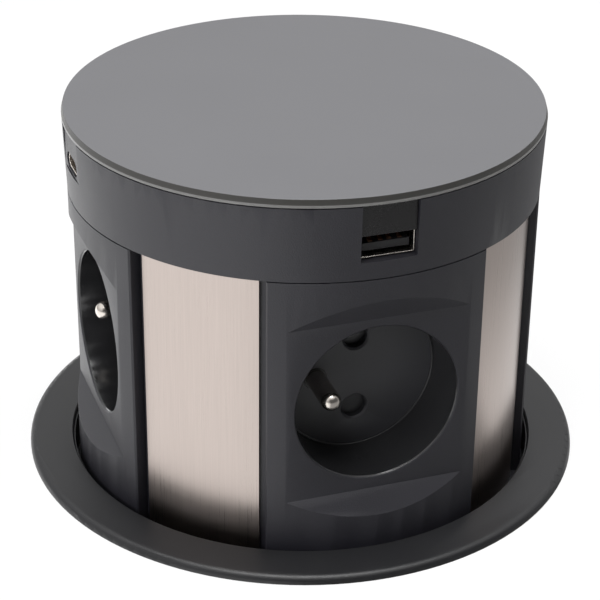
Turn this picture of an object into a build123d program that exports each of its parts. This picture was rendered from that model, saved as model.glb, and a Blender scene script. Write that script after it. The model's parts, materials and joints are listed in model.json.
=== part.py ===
"""Pop-up desk socket: a round tower of four earthed sockets that rises out of a desk.

Millimetres, +Z up. The origin is on the tower's axis, at the desk's surface, and the
tower stands raised. The front socket faces -Y. An azimuth is counted in degrees from
the front socket towards +X, so the right-hand socket is at 90 and the left one at 270.
Names that end in _D are distances from the tower's axis along an azimuth, and names
that end in _Z are heights above the desk.
"""
from build123d import *
from math import acos, cos, hypot, pi, radians, sin, sqrt, tan
import os

# Clearances and directions that the whole object shares
OVERRUN = 4.0
TOUCH_CLEARANCE = 0.3
FIT_CLEARANCE = 0.05

SIDE_NAMES = ("front", "right", "back", "left")
CORNER_NAMES = ("front_right", "back_right", "back_left", "front_left")
SIDE_TURN = 360 / len(SIDE_NAMES)
CORNER_TURN = SIDE_TURN / 2
SIDE_AZIMUTHS = {name: index * SIDE_TURN for index, name in enumerate(SIDE_NAMES)}
CORNER_AZIMUTHS = {name: index * SIDE_TURN + CORNER_TURN for index, name in enumerate(CORNER_NAMES)}

# Desk flange, its gasket and the guide ring inside it
FLANGE_HEIGHT = 2.0
FLANGE_BRIM = 6.7
FLANGE_ROUND = 1.7
FLANGE_EDGE = 0.3
NECK_WALL = 1.8
NECK_DEPTH = 8.0
SEAT_DEPTH = 0.5
GASKET_INSET = 1.5
GASKET_WIDTH = 3.5
GASKET_THICKNESS = 0.8
GUIDE_CLEARANCE = 0.3
GUIDE_THICKNESS = 0.6
GUIDE_TOP_DROP = 1.2
TOP_BELOW_FLANGE = 1.0

# Threaded barrel under the desk, its clamp washer and ring nut
BARREL_SHOULDER = 1.0
BARREL_WALL = 2.9
BARREL_SPARE_DEPTH = 5.0
THREAD_DEPTH = 1.0
THREAD_PITCH = 5.0
THREAD_START_Z = -12.0
THREAD_COUNT = 12
THREAD_CREST_SHARE = 0.4
THREAD_FLANK_SHARE = 0.2
SCREW_BOSS_RADIUS = 4.0
SCREW_BOSS_HEIGHT = 12.0
DESK_THICKNESS = 28.0
WASHER_THICKNESS = 2.5
NUT_HEIGHT = 12.0
NUT_WALL = 4.0
NUT_LUGS = 12
NUT_LUG_WIDTH = 9.0
NUT_LUG_DEPTH = 2.5

# Base cover, its screws, the cable gland and the terminal block
BASE_THICKNESS = 4.0
BASE_RIM_HEIGHT = 6.0
BASE_RIM_WALL = 2.4
SCREW_RADIUS = 1.5
SCREW_HEAD_RADIUS = 3.0
SCREW_HEAD_HEIGHT = 1.8
SCREW_GRIP = 8.0
GLAND_FROM_WALL = 18.6
GLAND_THREAD_RADIUS = 8.0
GLAND_HEX_RADIUS = 11.0
GLAND_HEX_HEIGHT = 5.0
GLAND_NECK_HEIGHT = 9.0
GLAND_NUT_HEIGHT = 8.0
GLAND_NUT_WALL = 2.0
GLAND_SEAL_RADIUS = 6.4
GLAND_SEAL_HEIGHT = 7.0
CABLE_RADIUS = 4.5
CABLE_CLEARANCE = 0.6
TERMINAL_D = 26.0
TERMINAL_DEPTH = 14.0
TERMINAL_WIDTH = 34.0
TERMINAL_HEIGHT = 15.0
TERMINAL_COUNT = 3
TERMINAL_WIRE_RADIUS = 2.2
TERMINAL_SCREW_RADIUS = 2.0
TERMINAL_SCREW_LENGTH = 5.0
TERMINAL_SCREW_SINK = 2.5

# Spring post and lift spring
POST_CLEARANCE = 2.1
POST_WALL = 2.5
POST_FOOT_BRIM = 7.0
POST_FOOT_HEIGHT = 4.0
POST_TOP_ROOM = 1.3
WIRE_RADIUS = 0.9
SPRING_CLEARANCE = 2.1
SPRING_TURNS = 20

# Tower frame: base plate, collar, pillars behind the steel panels, well and deck
SEAM = 0.3
CAP_HEIGHT = 20.4
PLATE_THICKNESS = 5.7
WELL_RADIUS = 15.0
WELL_WALL = 2.0
DECK_THICKNESS = 3.0
PILLAR_ANGLE_GAP = 0.35
RACK_SLOT_CLEARANCE = 1.0
LEAD_HOLE_RADIUS = 7.0
LEAD_HOLE_INSET = 20.3

# Steel panels
PANEL_SETBACK = 2.2
PANEL_THICKNESS = 1.0
PANEL_ANGLE_GAP = 1.85

# Socket faces: a sector of the tower's cylinder, cut flat, with a round recess
FACE_HALF_ANGLE = 27.45
FACE_DEPTH = 8.0
FACE_EDGE = 0.4
FLAT_SIDE_MARGIN = 2.16
FLAT_LOW_MARGIN = 3.3
FLAT_HIGH_MARGIN = 2.4
SLANT_LOW = 4.9
SLANT_HIGH = 6.9
BRIM_LOW = 7.3
BRIM_HIGH = 5.5
RECESS_RADIUS = 20.0
RECESS_DEPTH = 15.0
RECESS_EDGE = 0.5
CUP_WALL = 1.8
FLOOR_THICKNESS = 2.0
HOLE_SPACING = 19.0
HOLE_RADIUS = 3.0
HOLE_EDGE = 0.5
EARTH_OFFSET = 10.0
EARTH_RADIUS = 2.4
EARTH_SHOULDER_RADIUS = 2.8
EARTH_PROTRUSION = 13.0
EARTH_COLLAR_RADIUS = 3.2
EARTH_COLLAR_THICKNESS = 2.0
EARTH_TAIL_RADIUS = 1.8

# Contact carriers, contacts, shutters and link rings behind each recess
CARRIER_FROM_RING = 2.7
CARRIER_SIDE_ROOM = 2.0
CARRIER_MARGIN = 2.5
SHUTTER_HALF_WIDTH = 6.0
SHUTTER_THICKNESS = 2.0
SHUTTER_TRAVEL = 7.0
SHUTTER_MARGIN = 4.5
SHUTTER_HOLE_RADIUS = 3.2
SHUTTER_GAP = 0.3
CONTACT_OUTER_RADIUS = 4.2
CONTACT_INNER_RADIUS = 2.6
CONTACT_LENGTH = 10.0
CONTACT_SLIT = 1.2
TAIL_WIDTH = 4.0
TAIL_THICKNESS = 1.0
TAIL_LENGTH = 5.4
RING_GAP = 0.1
RING_WALL = 1.2
RING_HEIGHT = 5.0

# Cap: body, lid and the two charging ports; the cap is a little wider at its top
CAP_FLARE = 0.7
CAP_WALL = 2.4
CAP_FLOOR = 2.0
LID_THICKNESS = 2.0
BEVEL_HEIGHT = 1.4
BEVEL_WIDTH = 0.45
LID_RIM_DEPTH = 2.4
LID_RIM_WALL = 1.8
LID_GROOVE = 0.25
LID_GROOVE_DEPTH = 0.8
WINDOW_WIDTH = 13.5
WINDOW_SETBACK = 0.8
BEZEL_THICKNESS = 2.4
BOARD_HEIGHT = 5.3
BOARD_THICKNESS = 1.6
BOARD_MARGIN = 5.6
BOARD_POST_RADIUS = 3.0
BOARD_POST_INSET = 10.0
USB_A_WIDTH = 13.1
USB_A_HEIGHT = 5.7
USB_A_LENGTH = 14.0
USB_A_WALL = 0.3
USB_A_RISE = 2.7
USB_A_SETBACK = 1.0
USB_A_TONGUE_WIDTH = 11.1
USB_A_TONGUE_THICKNESS = 1.8
USB_A_TONGUE_RISE = 1.3
USB_A_TONGUE_SETBACK = 1.0
USB_C_WIDTH = 8.94
USB_C_HEIGHT = 3.26
USB_C_LENGTH = 8.0
USB_C_WALL = 0.3
USB_C_MARGIN = 0.8
USB_C_SLOT_CLEARANCE = 0.35
USB_C_SETBACK = 0.6
USB_C_TONGUE_WIDTH = 6.7
USB_C_TONGUE_THICKNESS = 0.7
USB_C_TONGUE_SETBACK = 0.8
PORT_BASE = 2.0
TRANSFORMER_SIZE = (18.0, 16.0, 6.0)
TRANSFORMER_D = 20.0
CAPACITOR_RADIUS = 4.0
CAPACITOR_HEIGHT = 5.8
CAPACITOR_D = 32.0

# Rack and rotary damper that slow the rise, at the front right corner
RACK_SPARE = 8.0
RACK_INNER_D = 37.0
RACK_WIDTH = 5.0
RACK_BAR = 3.0
GEAR_MODULE = 1.0
GEAR_TEETH = 12
PRESSURE_ANGLE = 20.0
RACK_ADDENDUM = 0.7
PINION_ADDENDUM = 0.8
TOOTH_ROOT = 1.2
BACKLASH = 0.35
RACK_PITCH_LINE = -2.0
PINION_BELOW_PLATE = 18.0
PINION_MARGIN = 0.3
AXLE_RADIUS = 1.5
AXLE_LENGTH = 4.5
DAMPER_RADIUS = 9.0
DAMPER_DEPTH = 7.0
DAMPER_PLATE = 2.0

# Catch that holds the tower down, at the back left corner
STRIKER_D = 32.5
STRIKER_THICKNESS = 2.5
STRIKER_HALF_WIDTH = 8.0
STRIKER_LENGTH = 21.0
STRIKER_WINDOW_RISE = 3.8
STRIKER_WINDOW_HEIGHT = 10.0
STRIKER_WINDOW_HALF_WIDTH = 5.0
STRIKER_FOOT = 8.0
PAWL_PIVOT_D = 41.0
PAWL_PIVOT_RISE = 8.0
PAWL_HALF_WIDTH = 4.0
PAWL_THICKNESS = 3.6
PAWL_HEIGHT = 15.0
PAWL_TAIL = 2.4
NOSE_REACH = 1.4
NOSE_HEIGHT = 3.0
PAWL_STUB_RADIUS = 2.0
EAR_THICKNESS = 3.0
EAR_HALF_DEPTH = 4.0
EAR_TOP = 4.0
BRACKET_FOOT = 2.0

# Azimuths of the damper and the catch
DAMPER_AZIMUTH = CORNER_AZIMUTHS["front_right"]
CATCH_AZIMUTH = CORNER_AZIMUTHS["back_left"]

# Distances from the axis, from the spring's well out to the tower's radius
RING_INNER_RADIUS = WELL_RADIUS + WELL_WALL + RING_GAP
RING_RADIUS = RING_INNER_RADIUS + RING_WALL
CARRIER_INNER_D = RING_RADIUS + CARRIER_FROM_RING
CARRIER_HALF_WIDTH = CARRIER_INNER_D - CARRIER_SIDE_ROOM
CONTACT_BACK_D = RING_RADIUS + TAIL_LENGTH
CONTACT_FRONT_D = CONTACT_BACK_D + CONTACT_LENGTH
CHANNEL_D = CONTACT_FRONT_D + SHUTTER_GAP
FLOOR_BACK_D = CHANNEL_D + SHUTTER_THICKNESS + 2 * SHUTTER_GAP
EARTH_COLLAR_D = FLOOR_BACK_D - EARTH_COLLAR_THICKNESS
FLOOR_D = FLOOR_BACK_D + FLOOR_THICKNESS
FACE_D = FLOOR_D + RECESS_DEPTH
TOWER_RADIUS = hypot(FACE_D, RECESS_RADIUS + FLAT_SIDE_MARGIN)
FACE_INNER_RADIUS = TOWER_RADIUS - FACE_DEPTH
PILLAR_INNER_RADIUS = FACE_INNER_RADIUS
PANEL_RADIUS = TOWER_RADIUS - PANEL_SETBACK
PILLAR_RADIUS = PANEL_RADIUS - PANEL_THICKNESS
PANEL_HALF_ANGLE = CORNER_TURN - FACE_HALF_ANGLE - PANEL_ANGLE_GAP
PILLAR_HALF_ANGLE = CORNER_TURN - FACE_HALF_ANGLE - PILLAR_ANGLE_GAP
SCREW_CIRCLE = (PILLAR_INNER_RADIUS + PILLAR_RADIUS) / 2
WINDOW_D = TOWER_RADIUS - WINDOW_SETBACK
USB_A_FRONT_D = WINDOW_D - USB_A_SETBACK
USB_C_FRONT_D = WINDOW_D - USB_C_SETBACK
BOARD_RADIUS = TOWER_RADIUS - CAP_WALL - BOARD_MARGIN
BOARD_POST_D = BOARD_RADIUS - BOARD_POST_INSET

# Radii of the flange, the barrel and what goes round it
CAP_TOP_RADIUS = TOWER_RADIUS + CAP_FLARE
GUIDE_RADIUS = CAP_TOP_RADIUS + GUIDE_CLEARANCE
FLANGE_BORE_RADIUS = GUIDE_RADIUS + GUIDE_THICKNESS
NECK_RADIUS = FLANGE_BORE_RADIUS + NECK_WALL
BARREL_BORE_RADIUS = FLANGE_BORE_RADIUS + BARREL_SHOULDER
BARREL_OUTER_RADIUS = BARREL_BORE_RADIUS + BARREL_WALL
COLLAR_RADIUS = BARREL_BORE_RADIUS - TOUCH_CLEARANCE
SEAT_RADIUS = BARREL_OUTER_RADIUS + SEAT_DEPTH
FLANGE_RADIUS = SEAT_RADIUS + FLANGE_BRIM
GASKET_INNER_RADIUS = SEAT_RADIUS + GASKET_INSET
NUT_BORE_RADIUS = BARREL_OUTER_RADIUS + TOUCH_CLEARANCE
NUT_RADIUS = NUT_BORE_RADIUS + NUT_WALL
BASE_SCREW_D = BARREL_BORE_RADIUS - SCREW_BOSS_RADIUS
GLAND_D = BARREL_BORE_RADIUS - GLAND_FROM_WALL
LEAD_HOLE_D = COLLAR_RADIUS - LEAD_HOLE_INSET
TERMINAL_MIDDLE_D = TERMINAL_D + TERMINAL_DEPTH / 2
GLAND_BORE_RADIUS = CABLE_RADIUS + CABLE_CLEARANCE
SPRING_RADIUS = WELL_RADIUS - WIRE_RADIUS - SPRING_CLEARANCE
POST_RADIUS = SPRING_RADIUS - WIRE_RADIUS - POST_CLEARANCE
POST_FOOT_RADIUS = POST_RADIUS + POST_FOOT_BRIM
PITCH_RADIUS = GEAR_MODULE * GEAR_TEETH / 2
TOOTH_PITCH = pi * GEAR_MODULE
PINION_SIDE = RACK_PITCH_LINE + PITCH_RADIUS
DAMPER_D = RACK_INNER_D + RACK_WIDTH + TOUCH_CLEARANCE
RACK_BACK = RACK_PITCH_LINE - TOOTH_ROOT - RACK_BAR

# Heights of the raised tower, from the flange up
FLANGE_TOP_Z = FLANGE_HEIGHT
RECESS_CENTRE_HEIGHT = BRIM_LOW + SLANT_LOW + FLAT_LOW_MARGIN + RECESS_RADIUS
RECESS_Z = FLANGE_TOP_Z + RECESS_CENTRE_HEIGHT
FLAT_LOW_Z = RECESS_Z - RECESS_RADIUS - FLAT_LOW_MARGIN
FLAT_HIGH_Z = RECESS_Z + RECESS_RADIUS + FLAT_HIGH_MARGIN
FACE_TOP_Z = FLAT_HIGH_Z + SLANT_HIGH + BRIM_HIGH
CAP_FLOOR_Z = FACE_TOP_Z + SEAM
TOWER_TOP_Z = CAP_FLOOR_Z + CAP_HEIGHT
WALL_TOP_Z = TOWER_TOP_Z - LID_THICKNESS
DECK_LOW_Z = FACE_TOP_Z - DECK_THICKNESS
CHANNEL_TOP = HOLE_SPACING / 2 + SHUTTER_TRAVEL + SHUTTER_MARGIN
CARRIER_HALF_HEIGHT = CHANNEL_TOP + CARRIER_MARGIN
BOARD_LOW_Z = CAP_FLOOR_Z + CAP_FLOOR + BOARD_HEIGHT
BOARD_TOP_Z = BOARD_LOW_Z + BOARD_THICKNESS
USB_A_LOW_Z = CAP_FLOOR_Z + CAP_FLOOR + USB_A_RISE
USB_C_LOW_Z = BOARD_TOP_Z
USB_C_MIDDLE_Z = USB_C_LOW_Z + USB_C_HEIGHT / 2

# Heights under the desk; the tower sinks until its top is just below the flange's
TRAVEL = TOWER_TOP_Z - FLANGE_TOP_Z + TOP_BELOW_FLANGE
PLATE_TOP_Z = -NECK_DEPTH - TOUCH_CLEARANCE
PLATE_LOW_Z = PLATE_TOP_Z - PLATE_THICKNESS
WASHER_TOP_Z = -DESK_THICKNESS
NUT_TOP_Z = WASHER_TOP_Z - WASHER_THICKNESS
POST_TOP_Z = DECK_LOW_Z - TRAVEL - POST_TOP_ROOM
PINION_Z = PLATE_LOW_Z - PINION_BELOW_PLATE
RACK_TOP_Z = PINION_Z + RACK_SPARE
BARREL_FLOOR_Z = PINION_Z - DAMPER_RADIUS - TRAVEL - BARREL_SPARE_DEPTH
GLAND_NECK_Z = BARREL_FLOOR_Z - BASE_THICKNESS - GLAND_HEX_HEIGHT - GLAND_NECK_HEIGHT
TERMINAL_SCREW_Z = BARREL_FLOOR_Z + TERMINAL_HEIGHT - TERMINAL_SCREW_LENGTH - TERMINAL_SCREW_SINK
FOOT_TOP_Z = BARREL_FLOOR_Z + POST_FOOT_HEIGHT
PAWL_PIVOT_Z = BARREL_FLOOR_Z + PAWL_PIVOT_RISE

UP = (Align.CENTER, Align.CENTER, Align.MIN)


# Shapes that the pieces are made of
def block(d_range, side_range, z_range, azimuth=0.0):
    """A box between two distances from the axis, two side offsets and two heights."""
    (d0, d1), (s0, s1), (z0, z1) = d_range, side_range, z_range
    box = Pos((s0 + s1) / 2, -(d0 + d1) / 2, (z0 + z1) / 2) * Box(s1 - s0, d1 - d0, z1 - z0)
    return Rot(0, 0, azimuth) * box


def tube(inner, outer, low, high):
    """A ring round the tower's axis; with an inner radius of zero, a disc."""
    solid = Pos(0, 0, low) * Cylinder(outer, high - low, align=UP)
    if inner > 0:
        solid -= Pos(0, 0, low - OVERRUN) * Cylinder(inner, high - low + 2 * OVERRUN, align=UP)
    return solid


def upright(radius, distance, azimuth, low, high, side=0.0):
    """A vertical cylinder at a distance from the axis on an azimuth."""
    rod = Pos(side, -distance, low) * Cylinder(radius, high - low, align=UP)
    return Rot(0, 0, azimuth) * rod


def lying(radius, side, height, inner_d, outer_d):
    """A cylinder along the front azimuth, from one distance from the axis to another."""
    return Pos(side, -inner_d, height) * Rot(90, 0, 0) * Cylinder(radius, outer_d - inner_d, align=UP)


def sector(inner, outer, half_angle, low, high):
    """A slice of a ring that is centred on the front azimuth."""
    turn = radians(half_angle)

    def at(radius, angle):
        return (radius * sin(angle), -radius * cos(angle))

    outline = [
        ThreePointArc(at(outer, -turn), at(outer, 0), at(outer, turn)),
        Line(at(outer, turn), at(inner, turn)),
        ThreePointArc(at(inner, turn), at(inner, 0), at(inner, -turn)),
        Line(at(inner, -turn), at(outer, -turn)),
    ]
    return Pos(0, 0, low) * extrude(make_face(outline), high - low)


def turned(lines):
    """A solid of revolution round Z from outline pieces drawn as (radius, height)."""
    return revolve(Plane.XZ * make_face(lines), Axis.Z)


def racetrack(width, height, inner_d, outer_d, centre_z):
    """A bar with half-round sides along the front azimuth."""
    bar = Rot(90, 0, 0) * extrude(SlotOverall(width, height), outer_d - inner_d)
    return Pos(0, -inner_d, centre_z) * bar


def group(solids):
    """Separate solids that share one node."""
    return Compound(children=list(solids))


def facing(shape, azimuth):
    """A copy of a front piece, turned to another azimuth."""
    return Rot(0, 0, azimuth) * shape


# Desk flange, gasket and guide ring
def desk_flange():
    """A low ring with a rounded rim, a neck into the barrel and grooves underneath."""
    rim_start = FLANGE_RADIUS - FLANGE_ROUND
    shoulder = FLANGE_TOP_Z - FLANGE_ROUND
    knee = FLANGE_ROUND * sin(radians(45))
    upper = Polyline(
        (FLANGE_RADIUS, 0),
        (NECK_RADIUS, 0),
        (NECK_RADIUS, -NECK_DEPTH),
        (FLANGE_BORE_RADIUS, -NECK_DEPTH),
        (FLANGE_BORE_RADIUS, FLANGE_TOP_Z - FLANGE_EDGE),
        (FLANGE_BORE_RADIUS + FLANGE_EDGE, FLANGE_TOP_Z),
        (rim_start, FLANGE_TOP_Z),
    )
    middle = (rim_start + knee, shoulder + knee)
    rim = ThreePointArc((rim_start, FLANGE_TOP_Z), middle, (FLANGE_RADIUS, shoulder))
    ring = turned([upper, rim, Line((FLANGE_RADIUS, shoulder), (FLANGE_RADIUS, 0))])
    ring -= tube(NECK_RADIUS, SEAT_RADIUS, -OVERRUN, SEAT_DEPTH)
    return ring - tube(GASKET_INNER_RADIUS, GASKET_INNER_RADIUS + GASKET_WIDTH, -OVERRUN, GASKET_THICKNESS)


def flange_gasket():
    return tube(GASKET_INNER_RADIUS, GASKET_INNER_RADIUS + GASKET_WIDTH, 0, GASKET_THICKNESS)


def guide_ring():
    """The liner that the tower slides through, below the flange's top edge."""
    return tube(GUIDE_RADIUS, FLANGE_BORE_RADIUS, -NECK_DEPTH, FLANGE_TOP_Z - GUIDE_TOP_DROP)


# Barrel, clamp washer and ring nut
def thread_groove(top):
    """One groove between two ridges of the barrel's coarse thread."""
    crest = THREAD_PITCH * THREAD_CREST_SHARE
    flank = THREAD_PITCH * THREAD_FLANK_SHARE
    root = BARREL_OUTER_RADIUS - THREAD_DEPTH
    beyond = BARREL_OUTER_RADIUS + OVERRUN
    low = top - THREAD_PITCH + crest
    return turned([
        Polyline(
            (BARREL_OUTER_RADIUS, top),
            (root, top - flank),
            (root, low + flank),
            (BARREL_OUTER_RADIUS, low),
            (beyond, low),
            (beyond, top),
            (BARREL_OUTER_RADIUS, top),
        )
    ])


def barrel():
    body = tube(BARREL_BORE_RADIUS, BARREL_OUTER_RADIUS, BARREL_FLOOR_Z, SEAT_DEPTH)
    body -= tube(0, NECK_RADIUS, -NECK_DEPTH, SEAT_DEPTH + OVERRUN)
    for turn in range(THREAD_COUNT):
        body -= thread_groove(THREAD_START_Z - turn * THREAD_PITCH)
    root = BARREL_OUTER_RADIUS - THREAD_DEPTH
    plain_top = THREAD_START_Z - THREAD_COUNT * THREAD_PITCH
    body -= tube(root, BARREL_OUTER_RADIUS + OVERRUN, BARREL_FLOOR_Z - OVERRUN, plain_top)
    boss_top = BARREL_FLOOR_Z + SCREW_BOSS_HEIGHT
    inside = tube(0, (BARREL_BORE_RADIUS + root) / 2, BARREL_FLOOR_Z, boss_top)
    for azimuth in SIDE_AZIMUTHS.values():
        boss = block((BASE_SCREW_D, BARREL_OUTER_RADIUS), (-SCREW_BOSS_RADIUS, SCREW_BOSS_RADIUS),
                     (BARREL_FLOOR_Z, boss_top), azimuth)
        boss += upright(SCREW_BOSS_RADIUS, BASE_SCREW_D, azimuth, BARREL_FLOOR_Z, boss_top)
        body += boss & inside
        body -= upright(SCREW_RADIUS, BASE_SCREW_D, azimuth, BARREL_FLOOR_Z - OVERRUN,
                        BARREL_FLOOR_Z + SCREW_GRIP)
    return body


def clamp_washer():
    return tube(NUT_BORE_RADIUS, NUT_RADIUS + NUT_LUG_DEPTH, NUT_TOP_Z, WASHER_TOP_Z)


def ring_nut():
    """A hand nut with grip lugs round its outside."""
    low, half = NUT_TOP_Z - NUT_HEIGHT, NUT_LUG_WIDTH / 2
    nut = tube(NUT_BORE_RADIUS, NUT_RADIUS, low, NUT_TOP_Z)
    lug = block((NUT_RADIUS - NUT_WALL / 2, NUT_RADIUS + NUT_LUG_DEPTH), (-half, half), (low, NUT_TOP_Z))
    for turn in range(NUT_LUGS):
        nut += facing(lug, turn * 360 / NUT_LUGS)
    return nut


# Base cover and what it carries
def base_cover():
    """A disc under the barrel with a rim inside it, notched round the barrel's screw bosses."""
    floor, under = BARREL_FLOOR_Z, BARREL_FLOOR_Z - BASE_THICKNESS
    rim_radius = BARREL_BORE_RADIUS - TOUCH_CLEARANCE
    cover = tube(0, BARREL_OUTER_RADIUS, under, floor)
    cover += tube(rim_radius - BASE_RIM_WALL, rim_radius, under, floor + BASE_RIM_HEIGHT)
    room, above = SCREW_BOSS_RADIUS + TOUCH_CLEARANCE, floor + BASE_RIM_HEIGHT + OVERRUN
    notch = block((BASE_SCREW_D - room, BARREL_OUTER_RADIUS), (-room, room), (floor, above))
    shank_radius, head_radius = SCREW_RADIUS + FIT_CLEARANCE, SCREW_HEAD_RADIUS + TOUCH_CLEARANCE
    for azimuth in SIDE_AZIMUTHS.values():
        cover -= facing(notch, azimuth)
        cover -= upright(shank_radius, BASE_SCREW_D, azimuth, under - OVERRUN, floor + OVERRUN)
        cover -= upright(head_radius, BASE_SCREW_D, azimuth, under - OVERRUN, under + SCREW_HEAD_HEIGHT)
    return cover - gland_rod(GLAND_THREAD_RADIUS, under - OVERRUN, floor + OVERRUN)


def screw(distance, azimuth, head_z, shank_end_z):
    """A pan-head screw; its head is on the side of the head height away from the shank."""
    points_up = shank_end_z > head_z
    low, high = (head_z, shank_end_z) if points_up else (shank_end_z, head_z)
    head_low = head_z - SCREW_HEAD_HEIGHT if points_up else head_z
    shank = upright(SCREW_RADIUS, distance, azimuth, low, high)
    return shank + upright(SCREW_HEAD_RADIUS, distance, azimuth, head_low, head_low + SCREW_HEAD_HEIGHT)


def base_screws():
    head_z = BARREL_FLOOR_Z - BASE_THICKNESS + SCREW_HEAD_HEIGHT
    tip_z = BARREL_FLOOR_Z + SCREW_GRIP - TOUCH_CLEARANCE
    return group(screw(BASE_SCREW_D, azimuth, head_z, tip_z) for azimuth in SIDE_AZIMUTHS.values())


def hexagon(radius, low, high):
    """A six-sided nut's body at the gland's place; the radius is to its corners."""
    prism = Pos(0, -GLAND_D, low) * extrude(RegularPolygon(radius, 6), high - low)
    return facing(prism, SIDE_AZIMUTHS["back"])


def gland_rod(radius, low, high):
    return upright(radius, GLAND_D, SIDE_AZIMUTHS["back"], low, high)


def cable_gland_body():
    """Hexagon under the cover, a thread through it and a neck that the nut screws on."""
    under, top = BARREL_FLOOR_Z - BASE_THICKNESS, BARREL_FLOOR_Z + GLAND_HEX_HEIGHT
    body = hexagon(GLAND_HEX_RADIUS, under - GLAND_HEX_HEIGHT, under)
    body += gland_rod(GLAND_THREAD_RADIUS, GLAND_NECK_Z, top)
    body -= gland_rod(GLAND_BORE_RADIUS, GLAND_NECK_Z - OVERRUN, top + OVERRUN)
    return body - gland_rod(GLAND_SEAL_RADIUS, GLAND_NECK_Z - OVERRUN, GLAND_NECK_Z + GLAND_SEAL_HEIGHT)


def cable_gland_seal():
    top = GLAND_NECK_Z + GLAND_SEAL_HEIGHT
    seal = gland_rod(GLAND_SEAL_RADIUS, GLAND_NECK_Z, top)
    return seal - gland_rod(CABLE_RADIUS, GLAND_NECK_Z - OVERRUN, top + OVERRUN)


def cable_gland_nut():
    """The dome nut that squeezes the seal onto a cable."""
    low = GLAND_NECK_Z - GLAND_NUT_WALL
    nut = hexagon(GLAND_HEX_RADIUS, low, low + GLAND_NUT_HEIGHT)
    nut -= gland_rod(GLAND_THREAD_RADIUS + FIT_CLEARANCE, GLAND_NECK_Z, low + GLAND_NUT_HEIGHT + OVERRUN)
    return nut - gland_rod(GLAND_BORE_RADIUS, low - OVERRUN, GLAND_NECK_Z + OVERRUN)


def terminal_places():
    pitch = TERMINAL_WIDTH / TERMINAL_COUNT
    return [(index - (TERMINAL_COUNT - 1) / 2) * pitch for index in range(TERMINAL_COUNT)]


def terminal_block():
    """An insulating block with one wire tunnel and one screw well for each pole."""
    half, top, end = TERMINAL_WIDTH / 2, BARREL_FLOOR_Z + TERMINAL_HEIGHT, TERMINAL_D + TERMINAL_DEPTH
    tunnel_z = BARREL_FLOOR_Z + TERMINAL_HEIGHT / 3
    body = block((TERMINAL_D, end), (-half, half), (BARREL_FLOOR_Z, top))
    for side in terminal_places():
        body -= lying(TERMINAL_WIRE_RADIUS, side, tunnel_z, TERMINAL_D - OVERRUN, end + OVERRUN)
        body -= upright(TERMINAL_SCREW_RADIUS, TERMINAL_MIDDLE_D, 0, TERMINAL_SCREW_Z, top + OVERRUN, side)
    return facing(body, SIDE_AZIMUTHS["right"])


def terminal_screws():
    top = TERMINAL_SCREW_Z + TERMINAL_SCREW_LENGTH
    screws = [upright(TERMINAL_SCREW_RADIUS, TERMINAL_MIDDLE_D, 0, TERMINAL_SCREW_Z, top, side)
              for side in terminal_places()]
    return facing(group(screws), SIDE_AZIMUTHS["right"])


# Spring post and lift spring
def spring_post():
    post = tube(0, POST_FOOT_RADIUS, BARREL_FLOOR_Z, FOOT_TOP_Z)
    post += tube(0, POST_RADIUS, BARREL_FLOOR_Z, POST_TOP_Z)
    return post - tube(0, POST_RADIUS - POST_WALL, BARREL_FLOOR_Z - OVERRUN, POST_TOP_Z + OVERRUN)


def helix_path(radius, low, high, turns):
    """A rising coil drawn as two arcs that meet smoothly in each half turn."""
    rise = (high - low) / (2 * pi * turns)
    steepness = hypot(radius, rise)

    def place(angle):
        return Vector(radius * cos(angle), radius * sin(angle), low + rise * angle)

    def heading(angle):
        return Vector(-radius * sin(angle), radius * cos(angle), rise) / steepness

    arcs = []
    for half in range(2 * turns):
        start, end = half * pi, (half + 1) * pi
        p0, p1, t0, t1 = place(start), place(end), heading(start), heading(end)
        span, both, spread = p1 - p0, t0 + t1, 1 - t0.dot(t1)
        reach = (sqrt(span.dot(both) ** 2 + 2 * spread * span.dot(span)) - span.dot(both)) / (2 * spread)
        joint = (p0 + p1 + (t0 - t1) * reach) / 2
        first = Edge.make_tangent_arc(p0, t0, joint)
        arcs += [first, Edge.make_tangent_arc(joint, first % 1, p1)]
    return Wire(arcs)


def lift_spring():
    """The coil round the post that lifts the tower; it stands in the tower's well."""
    low, high = FOOT_TOP_Z + WIRE_RADIUS, DECK_LOW_Z - WIRE_RADIUS
    path = helix_path(SPRING_RADIUS, low, high, SPRING_TURNS)
    gap = (high - low) / SPRING_TURNS - 2 * WIRE_RADIUS
    print(f"lift spring: least gap to itself {gap:.2f} mm raised, "
          f"{gap - TRAVEL / SPRING_TURNS:.2f} mm pressed down")
    start = Plane(origin=path @ 0, z_dir=path % 0)
    return sweep(start * Circle(WIRE_RADIUS), path=path)


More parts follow.
